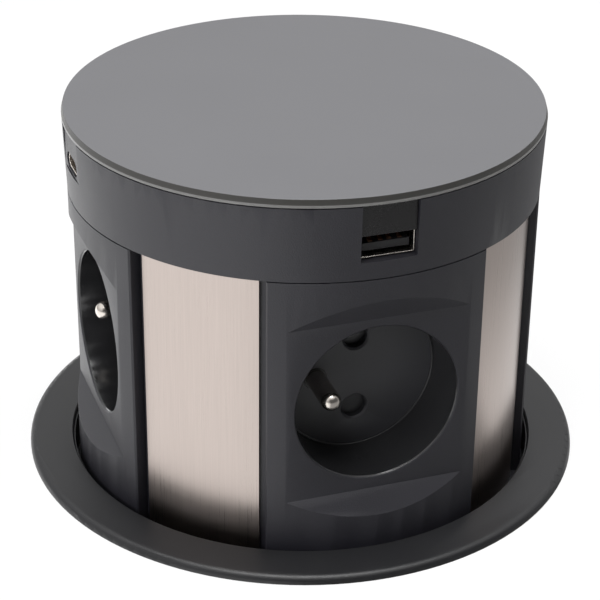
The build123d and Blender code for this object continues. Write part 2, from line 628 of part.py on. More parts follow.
# Tower frame and steel panels
def tower_frame():
    """Base plate with its stop collar, four pillars, the central well and the deck."""
    well_outer = WELL_RADIUS + WELL_WALL
    frame = tube(WELL_RADIUS, COLLAR_RADIUS, PLATE_LOW_Z, PLATE_TOP_Z)
    frame += tube(WELL_RADIUS, well_outer, PLATE_LOW_Z, FACE_TOP_Z)
    frame += tube(0, PILLAR_INNER_RADIUS - TOUCH_CLEARANCE, DECK_LOW_Z, FACE_TOP_Z)
    for azimuth in CORNER_AZIMUTHS.values():
        pillar = sector(PILLAR_INNER_RADIUS, PILLAR_RADIUS, PILLAR_HALF_ANGLE, PLATE_LOW_Z, CAP_FLOOR_Z)
        pillar += sector(PILLAR_INNER_RADIUS - DECK_THICKNESS, PILLAR_RADIUS, PILLAR_HALF_ANGLE, DECK_LOW_Z,
                         FACE_TOP_Z)
        frame += facing(pillar, azimuth)
        frame -= upright(SCREW_RADIUS, SCREW_CIRCLE, azimuth, CAP_FLOOR_Z - SCREW_GRIP, CAP_FLOOR_Z + OVERRUN)
    room = RACK_SLOT_CLEARANCE
    frame -= block((RACK_INNER_D - room, RACK_INNER_D + RACK_WIDTH + room),
                   (RACK_BACK - room, RACK_PITCH_LINE + RACK_ADDENDUM + room),
                   (PLATE_LOW_Z - OVERRUN, PLATE_TOP_Z + OVERRUN), DAMPER_AZIMUTH)
    for name in ("back_right", "front_left"):
        frame -= upright(LEAD_HOLE_RADIUS, LEAD_HOLE_D, CORNER_AZIMUTHS[name], PLATE_LOW_Z - OVERRUN,
                         PLATE_TOP_Z + OVERRUN)
    return frame


def steel_panel():
    return sector(PILLAR_RADIUS, PANEL_RADIUS, PANEL_HALF_ANGLE, PLATE_TOP_Z, FACE_TOP_Z)


# Socket face and the pieces behind it, all drawn for the front socket
def flat_cutter():
    """Everything outside the flat face and the two slanted planes above and below it."""
    beyond = TOWER_RADIUS - FACE_D + OVERRUN
    share = beyond / (TOWER_RADIUS - FACE_D)
    outline = Polyline(
        (-FACE_D, FLAT_LOW_Z),
        (-FACE_D, FLAT_HIGH_Z),
        (-FACE_D - beyond, FLAT_HIGH_Z + SLANT_HIGH * share),
        (-FACE_D - beyond, FLAT_LOW_Z - SLANT_LOW * share),
        close=True,
    )
    return extrude(Plane.YZ * make_face(outline), TOWER_RADIUS, both=True)


def socket_face():
    face = sector(FACE_INNER_RADIUS, TOWER_RADIUS, FACE_HALF_ANGLE, PLATE_TOP_Z, FACE_TOP_Z)
    corners = [edge for edge in face.edges().filter_by(Axis.Z)
               if hypot(edge.center().X, edge.center().Y) > (FACE_INNER_RADIUS + TOWER_RADIUS) / 2]
    face = chamfer(corners, FACE_EDGE)
    face -= flat_cutter()
    face += lying(RECESS_RADIUS + CUP_WALL, 0, RECESS_Z, FLOOR_BACK_D, (FACE_INNER_RADIUS + FACE_D) / 2)
    face -= lying(RECESS_RADIUS, 0, RECESS_Z, FLOOR_D, FACE_D + OVERRUN)
    rims = [edge for edge in face.edges().filter_by(GeomType.CIRCLE)
            if abs(edge.center().Y + FACE_D) < RECESS_EDGE and abs(edge.radius - RECESS_RADIUS) < RECESS_EDGE]
    face = chamfer(rims, RECESS_EDGE)
    for sign in (-1, 1):
        height = RECESS_Z + sign * HOLE_SPACING / 2
        face -= lying(HOLE_RADIUS, 0, height, FLOOR_BACK_D - OVERRUN, FLOOR_D + OVERRUN)
        mouth = Pos(0, -FLOOR_D + HOLE_EDGE, height) * Rot(90, 0, 0)
        face -= mouth * Cone(HOLE_RADIUS, HOLE_RADIUS + HOLE_EDGE, HOLE_EDGE, align=UP)
    seat = EARTH_SHOULDER_RADIUS + FIT_CLEARANCE
    return face - lying(seat, -EARTH_OFFSET, RECESS_Z, FLOOR_BACK_D - OVERRUN, FLOOR_D + OVERRUN)


def earth_pin():
    """A round-ended pin, its shoulder in the floor, its collar and its tail to the earth ring."""
    tip_d = FLOOR_D + EARTH_PROTRUSION
    pin = lying(EARTH_RADIUS, -EARTH_OFFSET, RECESS_Z, FLOOR_BACK_D, tip_d - EARTH_RADIUS)
    pin += lying(EARTH_SHOULDER_RADIUS, -EARTH_OFFSET, RECESS_Z, FLOOR_BACK_D, FLOOR_D)
    pin += Pos(-EARTH_OFFSET, EARTH_RADIUS - tip_d, RECESS_Z) * Sphere(EARTH_RADIUS)
    pin += lying(EARTH_COLLAR_RADIUS, -EARTH_OFFSET, RECESS_Z, EARTH_COLLAR_D, FLOOR_BACK_D)
    nearest = EARTH_OFFSET - EARTH_TAIL_RADIUS
    tail_d = sqrt(RING_RADIUS ** 2 - nearest ** 2) + RING_GAP
    return pin + lying(EARTH_TAIL_RADIUS, -EARTH_OFFSET, RECESS_Z, tail_d, FLOOR_BACK_D)


def contact_carrier():
    """The block behind the recess that holds the shutter, the contacts and the pin's tail."""
    half, tall = CARRIER_HALF_WIDTH, CARRIER_HALF_HEIGHT
    body = block((CARRIER_INNER_D, FLOOR_BACK_D), (-half, half), (RECESS_Z - tall, RECESS_Z + tall))
    channel = SHUTTER_HALF_WIDTH + SHUTTER_GAP
    body -= block((CHANNEL_D, FLOOR_BACK_D + OVERRUN), (-channel, channel),
                  (RECESS_Z - CHANNEL_TOP - SHUTTER_GAP, RECESS_Z + CHANNEL_TOP + SHUTTER_GAP))
    behind = CARRIER_INNER_D - OVERRUN
    wide, thick = TAIL_WIDTH / 2 + FIT_CLEARANCE, TAIL_THICKNESS / 2 + FIT_CLEARANCE
    for sign in (-1, 1):
        height = RECESS_Z + sign * HOLE_SPACING / 2
        body -= lying(CONTACT_OUTER_RADIUS + FIT_CLEARANCE, 0, height, CONTACT_BACK_D, FLOOR_BACK_D)
        body -= block((behind, FLOOR_BACK_D), (-wide, wide), (height - thick, height + thick))
    body -= lying(EARTH_TAIL_RADIUS + FIT_CLEARANCE, -EARTH_OFFSET, RECESS_Z, behind, FLOOR_BACK_D)
    collar = EARTH_COLLAR_RADIUS + FIT_CLEARANCE
    return body - lying(collar, -EARTH_OFFSET, RECESS_Z, EARTH_COLLAR_D, FLOOR_BACK_D + OVERRUN)


def line_contacts():
    """Two split sleeves that grip a plug's pins, each with a tail to its link ring."""
    sleeves = []
    beyond = CONTACT_OUTER_RADIUS + OVERRUN
    bore_d = CONTACT_BACK_D + CONTACT_OUTER_RADIUS - CONTACT_INNER_RADIUS
    wide, thick, slit = TAIL_WIDTH / 2, TAIL_THICKNESS / 2, CONTACT_SLIT / 2
    for sign in (-1, 1):
        height = RECESS_Z + sign * HOLE_SPACING / 2
        sleeve = lying(CONTACT_OUTER_RADIUS, 0, height, CONTACT_BACK_D, CONTACT_FRONT_D)
        sleeve -= lying(CONTACT_INNER_RADIUS, 0, height, bore_d, CONTACT_FRONT_D + OVERRUN)
        sleeve -= block((bore_d, CONTACT_FRONT_D + OVERRUN), (-beyond, beyond),
                        (height - slit, height + slit))
        sleeve += block((RING_RADIUS + RING_GAP, bore_d), (-wide, wide), (height - thick, height + thick))
        sleeves.append(sleeve)
    return group(sleeves)


def shutter():
    """A plate that covers both holes and clears them when it is pushed up."""
    half, front_d = SHUTTER_HALF_WIDTH, FLOOR_BACK_D - SHUTTER_GAP
    low, high = RECESS_Z - CHANNEL_TOP, RECESS_Z + CHANNEL_TOP - SHUTTER_TRAVEL
    plate = block((front_d - SHUTTER_THICKNESS, front_d), (-half, half), (low, high))
    for sign in (-1, 1):
        height = RECESS_Z + sign * HOLE_SPACING / 2 - SHUTTER_TRAVEL
        plate -= lying(SHUTTER_HOLE_RADIUS, 0, height, FLOOR_BACK_D - OVERRUN, FLOOR_BACK_D + OVERRUN)
    return plate


def link_ring(height):
    return tube(RING_INNER_RADIUS, RING_RADIUS, height - RING_HEIGHT / 2, height + RING_HEIGHT / 2)


# Cap, lid and charging ports
def window_cutter(low):
    """What a window removes from the cap's wall, from its sill up to the lid."""
    half, inside = WINDOW_WIDTH / 2, TOWER_RADIUS - 2 * CAP_WALL
    return block((inside, CAP_TOP_RADIUS + OVERRUN), (-half, half), (low, WALL_TOP_Z + OVERRUN))


def cap_radius(height):
    """The cap's outer radius at a height: it widens evenly from its floor to its top."""
    return TOWER_RADIUS + CAP_FLARE * (height - CAP_FLOOR_Z) / CAP_HEIGHT


def usb_a_window_z():
    return USB_A_LOW_Z - USB_C_SLOT_CLEARANCE


def usb_c_window_z():
    return USB_C_LOW_Z - USB_C_MARGIN


def cap_body():
    """A flared cup with two port windows, screw holes in its floor and posts for the board."""
    above, seam_z = WALL_TOP_Z + OVERRUN, WALL_TOP_Z - LID_GROOVE
    outline = Polyline(
        (0, CAP_FLOOR_Z),
        (TOWER_RADIUS, CAP_FLOOR_Z),
        (cap_radius(seam_z), seam_z),
        (cap_radius(seam_z) - LID_GROOVE_DEPTH, seam_z),
        (cap_radius(seam_z) - LID_GROOVE_DEPTH, WALL_TOP_Z),
        (0, WALL_TOP_Z),
        close=True,
    )
    cup = turned([outline]) - tube(0, TOWER_RADIUS - CAP_WALL, CAP_FLOOR_Z + CAP_FLOOR, above)
    cup -= window_cutter(usb_a_window_z())
    cup -= facing(window_cutter(usb_c_window_z()), SIDE_AZIMUTHS["left"])
    for azimuth in CORNER_AZIMUTHS.values():
        cup += upright(BOARD_POST_RADIUS, BOARD_POST_D, azimuth, CAP_FLOOR_Z, BOARD_LOW_Z)
        cup -= upright(SCREW_RADIUS + FIT_CLEARANCE, SCREW_CIRCLE, azimuth, CAP_FLOOR_Z - OVERRUN,
                       CAP_FLOOR_Z + OVERRUN)
    return cup


def cap_lid():
    """A plate with a steep bevel round its top and a rim that plugs into the cap."""
    slope_foot = TOWER_TOP_Z - BEVEL_HEIGHT
    outline = Polyline(
        (0, WALL_TOP_Z),
        (cap_radius(WALL_TOP_Z), WALL_TOP_Z),
        (cap_radius(slope_foot), slope_foot),
        (CAP_TOP_RADIUS - BEVEL_WIDTH, TOWER_TOP_Z),
        (0, TOWER_TOP_Z),
        close=True,
    )
    rim, rim_low = TOWER_RADIUS - CAP_WALL - FIT_CLEARANCE, WALL_TOP_Z - LID_RIM_DEPTH
    lid = turned([outline]) + tube(rim - LID_RIM_WALL, rim, rim_low, WALL_TOP_Z + LID_THICKNESS / 2)
    room = WINDOW_WIDTH / 2 + TOUCH_CLEARANCE
    notch = block((rim - 2 * LID_RIM_WALL, CAP_TOP_RADIUS), (-room, room), (rim_low - OVERRUN, WALL_TOP_Z))
    return lid - notch - facing(notch, SIDE_AZIMUTHS["left"])


def cap_screws():
    head_z = CAP_FLOOR_Z + CAP_FLOOR
    tip_z = CAP_FLOOR_Z - SCREW_GRIP + TOUCH_CLEARANCE
    return group(screw(SCREW_CIRCLE, azimuth, head_z, tip_z) for azimuth in CORNER_AZIMUTHS.values())


def usb_a_bezel():
    """The blank flat panel that closes the window above the front port."""
    half, low = WINDOW_WIDTH / 2, USB_A_LOW_Z + USB_A_HEIGHT
    return block((WINDOW_D - BEZEL_THICKNESS, WINDOW_D), (-half, half), (low, WALL_TOP_Z))


def usb_c_bezel():
    """The flat panel round the left port, with a slot for its shell."""
    half, back, room = WINDOW_WIDTH / 2, WINDOW_D - BEZEL_THICKNESS, 2 * USB_C_SLOT_CLEARANCE
    panel = block((back, WINDOW_D), (-half, half), (usb_c_window_z(), WALL_TOP_Z))
    panel -= racetrack(USB_C_WIDTH + room, USB_C_HEIGHT + room, back - OVERRUN, WINDOW_D + OVERRUN,
                       USB_C_MIDDLE_Z)
    return facing(panel, SIDE_AZIMUTHS["left"])


def usb_a_shell():
    """A folded sheet tube that is open at its mouth."""
    half, wall = USB_A_WIDTH / 2, USB_A_WALL
    inner_d = USB_A_FRONT_D - USB_A_LENGTH
    shell = block((inner_d, USB_A_FRONT_D), (-half, half), (USB_A_LOW_Z, USB_A_LOW_Z + USB_A_HEIGHT))
    return shell - block((inner_d - OVERRUN, USB_A_FRONT_D + OVERRUN), (wall - half, half - wall),
                         (USB_A_LOW_Z + wall, USB_A_LOW_Z + USB_A_HEIGHT - wall))


def usb_a_tongue():
    """The insulator: a back wall that closes the shell and the tongue in front of it."""
    inner_d, front_d = USB_A_FRONT_D - USB_A_LENGTH, USB_A_FRONT_D - USB_A_TONGUE_SETBACK
    half, wall = USB_A_WIDTH / 2, USB_A_WALL
    back = block((inner_d, inner_d + PORT_BASE), (wall - half, half - wall),
                 (USB_A_LOW_Z + wall, USB_A_LOW_Z + USB_A_HEIGHT - wall))
    low, reach = USB_A_LOW_Z + USB_A_TONGUE_RISE, USB_A_TONGUE_WIDTH / 2
    return back + block((inner_d, front_d), (-reach, reach), (low, low + USB_A_TONGUE_THICKNESS))


def usb_c_shell():
    inner_d = USB_C_FRONT_D - USB_C_LENGTH
    shell = racetrack(USB_C_WIDTH, USB_C_HEIGHT, inner_d, USB_C_FRONT_D, USB_C_MIDDLE_Z)
    return facing(shell - usb_c_bore(inner_d - OVERRUN, USB_C_FRONT_D + OVERRUN), SIDE_AZIMUTHS["left"])


def usb_c_bore(inner_d, outer_d):
    """The space inside the left port's shell, between two distances from the axis."""
    walls = 2 * USB_C_WALL
    return racetrack(USB_C_WIDTH - walls, USB_C_HEIGHT - walls, inner_d, outer_d, USB_C_MIDDLE_Z)


def usb_c_tongue():
    inner_d, front_d = USB_C_FRONT_D - USB_C_LENGTH, USB_C_FRONT_D - USB_C_TONGUE_SETBACK
    half, thick = USB_C_TONGUE_WIDTH / 2, USB_C_TONGUE_THICKNESS / 2
    tongue = block((inner_d, front_d), (-half, half), (USB_C_MIDDLE_Z - thick, USB_C_MIDDLE_Z + thick))
    return facing(usb_c_bore(inner_d, inner_d + PORT_BASE) + tongue, SIDE_AZIMUTHS["left"])


def charger_board():
    """A round board with a notch that the front port sinks into."""
    board = tube(0, BOARD_RADIUS, BOARD_LOW_Z, BOARD_TOP_Z)
    half = USB_A_WIDTH / 2 + FIT_CLEARANCE
    return board - block((USB_A_FRONT_D - USB_A_LENGTH - FIT_CLEARANCE, TOWER_RADIUS), (-half, half),
                         (BOARD_LOW_Z - OVERRUN, BOARD_TOP_Z + OVERRUN))


def charger_parts():
    """A transformer and smoothing capacitors on top of the board."""
    width, depth, height = TRANSFORMER_SIZE
    core = block((TRANSFORMER_D - depth / 2, TRANSFORMER_D + depth / 2), (-width / 2, width / 2),
                 (BOARD_TOP_Z, BOARD_TOP_Z + height), SIDE_AZIMUTHS["back"])
    cans = [upright(CAPACITOR_RADIUS, CAPACITOR_D, azimuth, BOARD_TOP_Z, BOARD_TOP_Z + CAPACITOR_HEIGHT)
            for azimuth in CORNER_AZIMUTHS.values()]
    return group([core] + cans)


# Rack and rotary damper
def damper_rack():
    """A toothed bar that stands on the base; one of its gaps faces the pinion."""
    flank = tan(radians(PRESSURE_ANGLE))
    half = (TOOTH_PITCH / 2 - BACKLASH / 2) / 2
    root_line = RACK_PITCH_LINE - TOOTH_ROOT
    tip_half, root_half = half - RACK_ADDENDUM * flank, half + TOOTH_ROOT * flank
    d_range = (RACK_INNER_D, RACK_INNER_D + RACK_WIDTH)
    bar = block(d_range, (RACK_BACK, root_line), (BARREL_FLOOR_Z, RACK_TOP_Z))
    outline = Polyline(
        (root_line - RACK_BAR / 2, -root_half),
        (root_line, -root_half),
        (RACK_PITCH_LINE + RACK_ADDENDUM, -tip_half),
        (RACK_PITCH_LINE + RACK_ADDENDUM, tip_half),
        (root_line, root_half),
        (root_line - RACK_BAR / 2, root_half),
        close=True,
    )
    tooth = Pos(0, -RACK_INNER_D, 0) * extrude(Plane.XZ * make_face(outline), RACK_WIDTH)
    above = int((RACK_TOP_Z - root_half - PINION_Z) / TOOTH_PITCH - 0.5)
    below = int((PINION_Z - BARREL_FLOOR_Z - root_half) / TOOTH_PITCH - 0.5)
    teeth = [Pos(0, 0, PINION_Z + (index + 0.5) * TOOTH_PITCH) * tooth
             for index in range(-below - 1, above + 1)]
    return facing(bar.fuse(*teeth), DAMPER_AZIMUTH)


def tooth_half_angle(radius):
    """Half of a pinion tooth's angle at a radius, by the involute of its base circle."""
    base = PITCH_RADIUS * cos(radians(PRESSURE_ANGLE))

    def involute(r):
        turn = acos(min(1.0, base / r))
        return tan(turn) - turn

    at_pitch = (TOOTH_PITCH / 2 - BACKLASH / 2) / (2 * PITCH_RADIUS)
    return at_pitch + involute(PITCH_RADIUS) - involute(radius)


def damper_pinion():
    """A small involute pinion and the axle that turns in the damper."""
    root = PITCH_RADIUS - TOOTH_ROOT
    tip = PITCH_RADIUS + PINION_ADDENDUM
    base = PITCH_RADIUS * cos(radians(PRESSURE_ANGLE))
    step = 2 * pi / GEAR_TEETH
    points = []
    rising = [(root, -tooth_half_angle(base))]
    rising += [(radius, -tooth_half_angle(radius)) for radius in (base, PITCH_RADIUS, tip)]
    falling = [(radius, -turn) for radius, turn in reversed(rising)]
    for tooth in range(GEAR_TEETH):
        centre = pi + tooth * step
        points += [(r * cos(centre + turn), r * sin(centre + turn)) for r, turn in rising + falling]
    inner_d = RACK_INNER_D + PINION_MARGIN
    outer_d = RACK_INNER_D + RACK_WIDTH - PINION_MARGIN
    gear = Rot(90, 0, 0) * extrude(make_face(Polyline(*points, close=True)), outer_d - inner_d)
    axle = lying(AXLE_RADIUS, PINION_SIDE, PINION_Z, inner_d, DAMPER_D + AXLE_LENGTH)
    return facing(Pos(PINION_SIDE, -inner_d, PINION_Z) * gear + axle, DAMPER_AZIMUTH)


def damper_body():
    """A sealed drum of thick grease on a plate that hangs under the tower's base."""
    left, right = PINION_SIDE - DAMPER_RADIUS, PINION_SIDE + DAMPER_RADIUS
    body = lying(DAMPER_RADIUS, PINION_SIDE, PINION_Z, DAMPER_D, DAMPER_D + DAMPER_DEPTH)
    body += block((DAMPER_D, DAMPER_D + DAMPER_PLATE), (left, right), (PINION_Z, PLATE_LOW_Z))
    bore_end = DAMPER_D + AXLE_LENGTH + TOUCH_CLEARANCE
    body -= lying(AXLE_RADIUS + FIT_CLEARANCE, PINION_SIDE, PINION_Z, DAMPER_D - OVERRUN, bore_end)
    return facing(body, DAMPER_AZIMUTH)


# Catch
def catch_striker():
    """A steel plate under the tower with a window that the pawl's nose drops into."""
    low = PLATE_LOW_Z - STRIKER_LENGTH
    outer_d = STRIKER_D + STRIKER_THICKNESS
    plate = block((STRIKER_D, outer_d), (-STRIKER_HALF_WIDTH, STRIKER_HALF_WIDTH), (low, PLATE_LOW_Z))
    plate += block((STRIKER_D - STRIKER_FOOT, outer_d), (-STRIKER_HALF_WIDTH, STRIKER_HALF_WIDTH),
                   (PLATE_LOW_Z - STRIKER_THICKNESS, PLATE_LOW_Z))
    sill, half = low + STRIKER_WINDOW_RISE, STRIKER_WINDOW_HALF_WIDTH
    window = ((STRIKER_D - OVERRUN, outer_d + OVERRUN), (-half, half), (sill, sill + STRIKER_WINDOW_HEIGHT))
    return facing(plate - block(*window), CATCH_AZIMUTH)


def cross_rod(radius, reach):
    """A rod on the pawl's pivot that reaches equally far to both sides."""
    return Pos(0, -PAWL_PIVOT_D, PAWL_PIVOT_Z) * Rot(0, 90, 0) * Cylinder(radius, 2 * reach)


def catch_pawl():
    """An arm with a nose at its top and two stubs that turn in the bracket's ears."""
    inner_d, outer_d = PAWL_PIVOT_D - PAWL_THICKNESS / 2, PAWL_PIVOT_D + PAWL_THICKNESS / 2
    top = PAWL_PIVOT_Z + PAWL_HEIGHT
    half = PAWL_HALF_WIDTH
    pawl = block((inner_d, outer_d), (-half, half), (PAWL_PIVOT_Z - PAWL_TAIL, top))
    pawl += block((inner_d - NOSE_REACH, outer_d), (-half, half), (top - NOSE_HEIGHT, top))
    return facing(pawl + cross_rod(PAWL_STUB_RADIUS, half + TOUCH_CLEARANCE + EAR_THICKNESS), CATCH_AZIMUTH)


def catch_bracket():
    """Two ears on a foot that is fixed to the base cover."""
    inner = PAWL_HALF_WIDTH + TOUCH_CLEARANCE
    outer = inner + EAR_THICKNESS
    d_range = (PAWL_PIVOT_D - EAR_HALF_DEPTH, PAWL_PIVOT_D + EAR_HALF_DEPTH)
    bracket = block(d_range, (-outer, outer), (BARREL_FLOOR_Z, BARREL_FLOOR_Z + BRACKET_FOOT))
    for sign in (-1, 1):
        sides = sorted((sign * inner, sign * outer))
        bracket += block(d_range, sides, (BARREL_FLOOR_Z, PAWL_PIVOT_Z + EAR_TOP))
    return facing(bracket - cross_rod(PAWL_STUB_RADIUS + FIT_CLEARANCE, outer + OVERRUN), CATCH_AZIMUTH)


def all_pieces():
    """Every node's name and shape."""
    pieces = {
        "desk_flange": desk_flange(),
        "flange_gasket": flange_gasket(),
        "guide_ring": guide_ring(),
        "barrel": barrel(),
        "clamp_washer": clamp_washer(),
        "ring_nut": ring_nut(),
        "base_cover": base_cover(),
        "base_screws": base_screws(),
        "cable_gland_body": cable_gland_body(),
        "cable_gland_seal": cable_gland_seal(),
        "cable_gland_nut": cable_gland_nut(),
        "terminal_block": terminal_block(),
        "terminal_screws": terminal_screws(),
        "spring_post": spring_post(),
        "lift_spring": lift_spring(),
        "tower_frame": tower_frame(),
        "neutral_ring": link_ring(RECESS_Z - HOLE_SPACING / 2),
        "earth_ring": link_ring(RECESS_Z),
        "line_ring": link_ring(RECESS_Z + HOLE_SPACING / 2),
        "cap_body": cap_body(),
        "cap_lid": cap_lid(),
        "cap_screws": cap_screws(),
        "usb_a_bezel": usb_a_bezel(),
        "usb_a_shell": usb_a_shell(),
        "usb_a_tongue": usb_a_tongue(),
        "usb_c_bezel": usb_c_bezel(),
        "usb_c_shell": usb_c_shell(),
        "usb_c_tongue": usb_c_tongue(),
        "charger_board": charger_board(),
        "charger_parts": charger_parts(),
        "damper_rack": damper_rack(),
        "damper_pinion": damper_pinion(),
        "damper_body": damper_body(),
        "catch_striker": catch_striker(),
        "catch_pawl": catch_pawl(),
        "catch_bracket": catch_bracket(),
    }
    fronts = {
        "socket_face": socket_face(),
        "earth_pin": earth_pin(),
        "contact_carrier": contact_carrier(),
        "line_contacts": line_contacts(),
        "shutter": shutter(),
    }
    for name, shape in fronts.items():
        for side, azimuth in SIDE_AZIMUTHS.items():
            pieces[f"{name}_{side}"] = facing(shape, azimuth)
    panel = steel_panel()
    for corner, azimuth in CORNER_AZIMUTHS.items():
        pieces[f"steel_panel_{corner}"] = facing(panel, azimuth)
    return pieces


os.makedirs("parts", exist_ok=True)
for name, shape in all_pieces().items():
    export_step(shape, os.path.join("parts", name + ".step"))
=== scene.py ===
# %% [markdown]
# A pop-up desk socket. A black tower with four sockets stands raised above a low flange. The packed
# model gives every piece at its real size and place. This file adds what the eye meets: rounded
# edges, contacts in the front port, a coiled spring, and a finish for every surface.

# %% Load the frame
import json
from math import cos, pi, radians, sin

import bmesh
import bpy
import numpy as np
from mathutils import Matrix, Vector


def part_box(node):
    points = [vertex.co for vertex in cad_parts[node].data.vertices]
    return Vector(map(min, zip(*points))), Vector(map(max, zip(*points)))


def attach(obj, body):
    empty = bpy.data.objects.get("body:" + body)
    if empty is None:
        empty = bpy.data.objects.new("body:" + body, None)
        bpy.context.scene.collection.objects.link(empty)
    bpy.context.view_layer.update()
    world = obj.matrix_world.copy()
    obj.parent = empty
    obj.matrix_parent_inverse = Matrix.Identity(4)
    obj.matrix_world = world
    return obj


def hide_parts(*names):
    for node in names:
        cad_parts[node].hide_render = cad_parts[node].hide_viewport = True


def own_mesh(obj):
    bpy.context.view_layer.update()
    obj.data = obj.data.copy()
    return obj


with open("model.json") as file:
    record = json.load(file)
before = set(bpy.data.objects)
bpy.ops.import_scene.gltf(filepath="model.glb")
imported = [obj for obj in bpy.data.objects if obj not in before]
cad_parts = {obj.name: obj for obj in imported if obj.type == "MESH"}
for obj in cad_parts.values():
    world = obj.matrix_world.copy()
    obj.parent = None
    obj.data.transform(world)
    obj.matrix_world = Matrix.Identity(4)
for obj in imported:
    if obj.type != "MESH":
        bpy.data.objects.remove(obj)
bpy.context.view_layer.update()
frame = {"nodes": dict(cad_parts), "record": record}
MM = 0.001
SLOT_OF = {part["node"]: part["material_slot"] for part in frame["record"]["subparts"]}
BEHAVIOUR = frame["record"]["behaviour"]
BODY_OF = {node: body for body, nodes in BEHAVIOUR["bodies"].items() for node in nodes}

# %% [markdown]
# Some sizes that the finishes and new pieces share are read from the boxes of the pieces that carry
# them, so nothing here has to be fitted by eye; the recess's radius and depths are given in
# millimetres. The desk's surface is at height zero.

# %% Shared sizes
TOWER_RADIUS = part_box("socket_face_right")[1].x
LID_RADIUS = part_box("cap_lid")[1].x
TOWER_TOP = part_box("cap_lid")[1].z
RECESS_RADIUS = 20.0 * MM
FACE_DISTANCE = 53.6 * MM
FLOOR_DISTANCE = 38.6 * MM
RECESS_HEIGHT = (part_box("earth_pin_front")[0].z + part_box("earth_pin_front")[1].z) / 2
SIDE_AZIMUTHS = {"front": 0.0, "right": 90.0, "back": 180.0, "left": -90.0}
CORNERS = ("front_right", "back_right", "back_left", "front_left")
print("tower radius and recess height, mm:", round(TOWER_RADIUS / MM, 2), round(RECESS_HEIGHT / MM, 2))

# %% [markdown]
# A camera is a position, a direction and a lens. These angles were worked out from the ellipses
# of the lid and the flange in the photograph. A long lens from a little above gives the nearly
# parallel verticals of a product picture.

# %% Camera
CAMERA_AZIMUTH = radians(-19.42)
CAMERA_DISTANCE = 439.45 * MM
CAMERA_HEIGHT = 272.3 * MM
CAMERA_PITCH = radians(28.13)
CAMERA_YAW = radians(-0.07)
CAMERA_ROLL = radians(-0.66)
CAMERA_LENS_MM = 117.14


def add_camera():
    """Aims the camera by three unit vectors: right, up and back, turned by the roll."""
    level = cos(CAMERA_PITCH)
    ahead = Vector((sin(CAMERA_YAW) * level, cos(CAMERA_YAW) * level, -sin(CAMERA_PITCH)))
    right = Vector((cos(CAMERA_YAW), -sin(CAMERA_YAW), 0))
    up = right.cross(ahead)
    roll_cos, roll_sin = cos(CAMERA_ROLL), sin(CAMERA_ROLL)
    across = right * roll_cos - up * roll_sin
    upward = right * roll_sin + up * roll_cos
    turn = Matrix.Rotation(CAMERA_AZIMUTH, 4, "Z")
    aim = Matrix((across, upward, -ahead)).transposed().to_4x4()
    data = bpy.data.cameras.new("camera")
    data.lens = CAMERA_LENS_MM
    camera = bpy.data.objects.new("camera", data)
    place = Matrix.Translation((0, -CAMERA_DISTANCE, CAMERA_HEIGHT))
    camera.matrix_world = turn @ place @ aim
    bpy.context.scene.collection.objects.link(camera)
    bpy.context.scene.camera = camera
    bpy.context.scene.view_settings.view_transform = "Standard"
    return camera


camera = add_camera()
print("camera at", [round(value / MM, 1) for value in camera.matrix_world.translation])

# %% [markdown]
# A finish is a graph of shader nodes. Written as plain Python, a graph is hard to read, so a small
# class wraps a socket and gives it the usual signs: adding two wrapped sockets adds a Math node.
# One more method makes any other node from its kind, its settings and the values of its sockets.


# %% Shader maths
class Wire:
    """One socket's value in a finish; every sign on it adds a Math node."""

    def __init__(self, finish, socket):
        self.finish, self.socket = finish, socket

    def math(self, operation, *values):
        sockets = dict(enumerate(values))
        return self.finish.add("Math", {"operation": operation}, sockets)

    def __add__(self, other):
        return self.math("ADD", self, other)

    def __sub__(self, other):
        return self.math("SUBTRACT", self, other)

    def __rsub__(self, other):
        return self.math("SUBTRACT", other, self)

    def __mul__(self, other):
        return self.math("MULTIPLY", self, other)

    def __truediv__(self, other):
        return self.math("DIVIDE", self, other)

    def __pow__(self, other):
        return self.math("POWER", self, other)

    __radd__, __rmul__ = __add__, __mul__

    def larger(self, other):
        return self.math("MAXIMUM", self, other)

    def smaller(self, other):
        return self.math("MINIMUM", self, other)

    def step(self, low, high):
        """0 below low, 1 above high, and a smooth rise between them."""
        sockets = {"Value": self, "From Min": low, "From Max": high}
        return self.finish.add("MapRange", {"interpolation_type": "SMOOTHSTEP"}, sockets)

    def spread(self, low, high):
        """A value from 0 to 1, moved to the range from low to high."""
        return self.finish.add("MapRange", {}, {"Value": self, "To Min": low, "To Max": high})


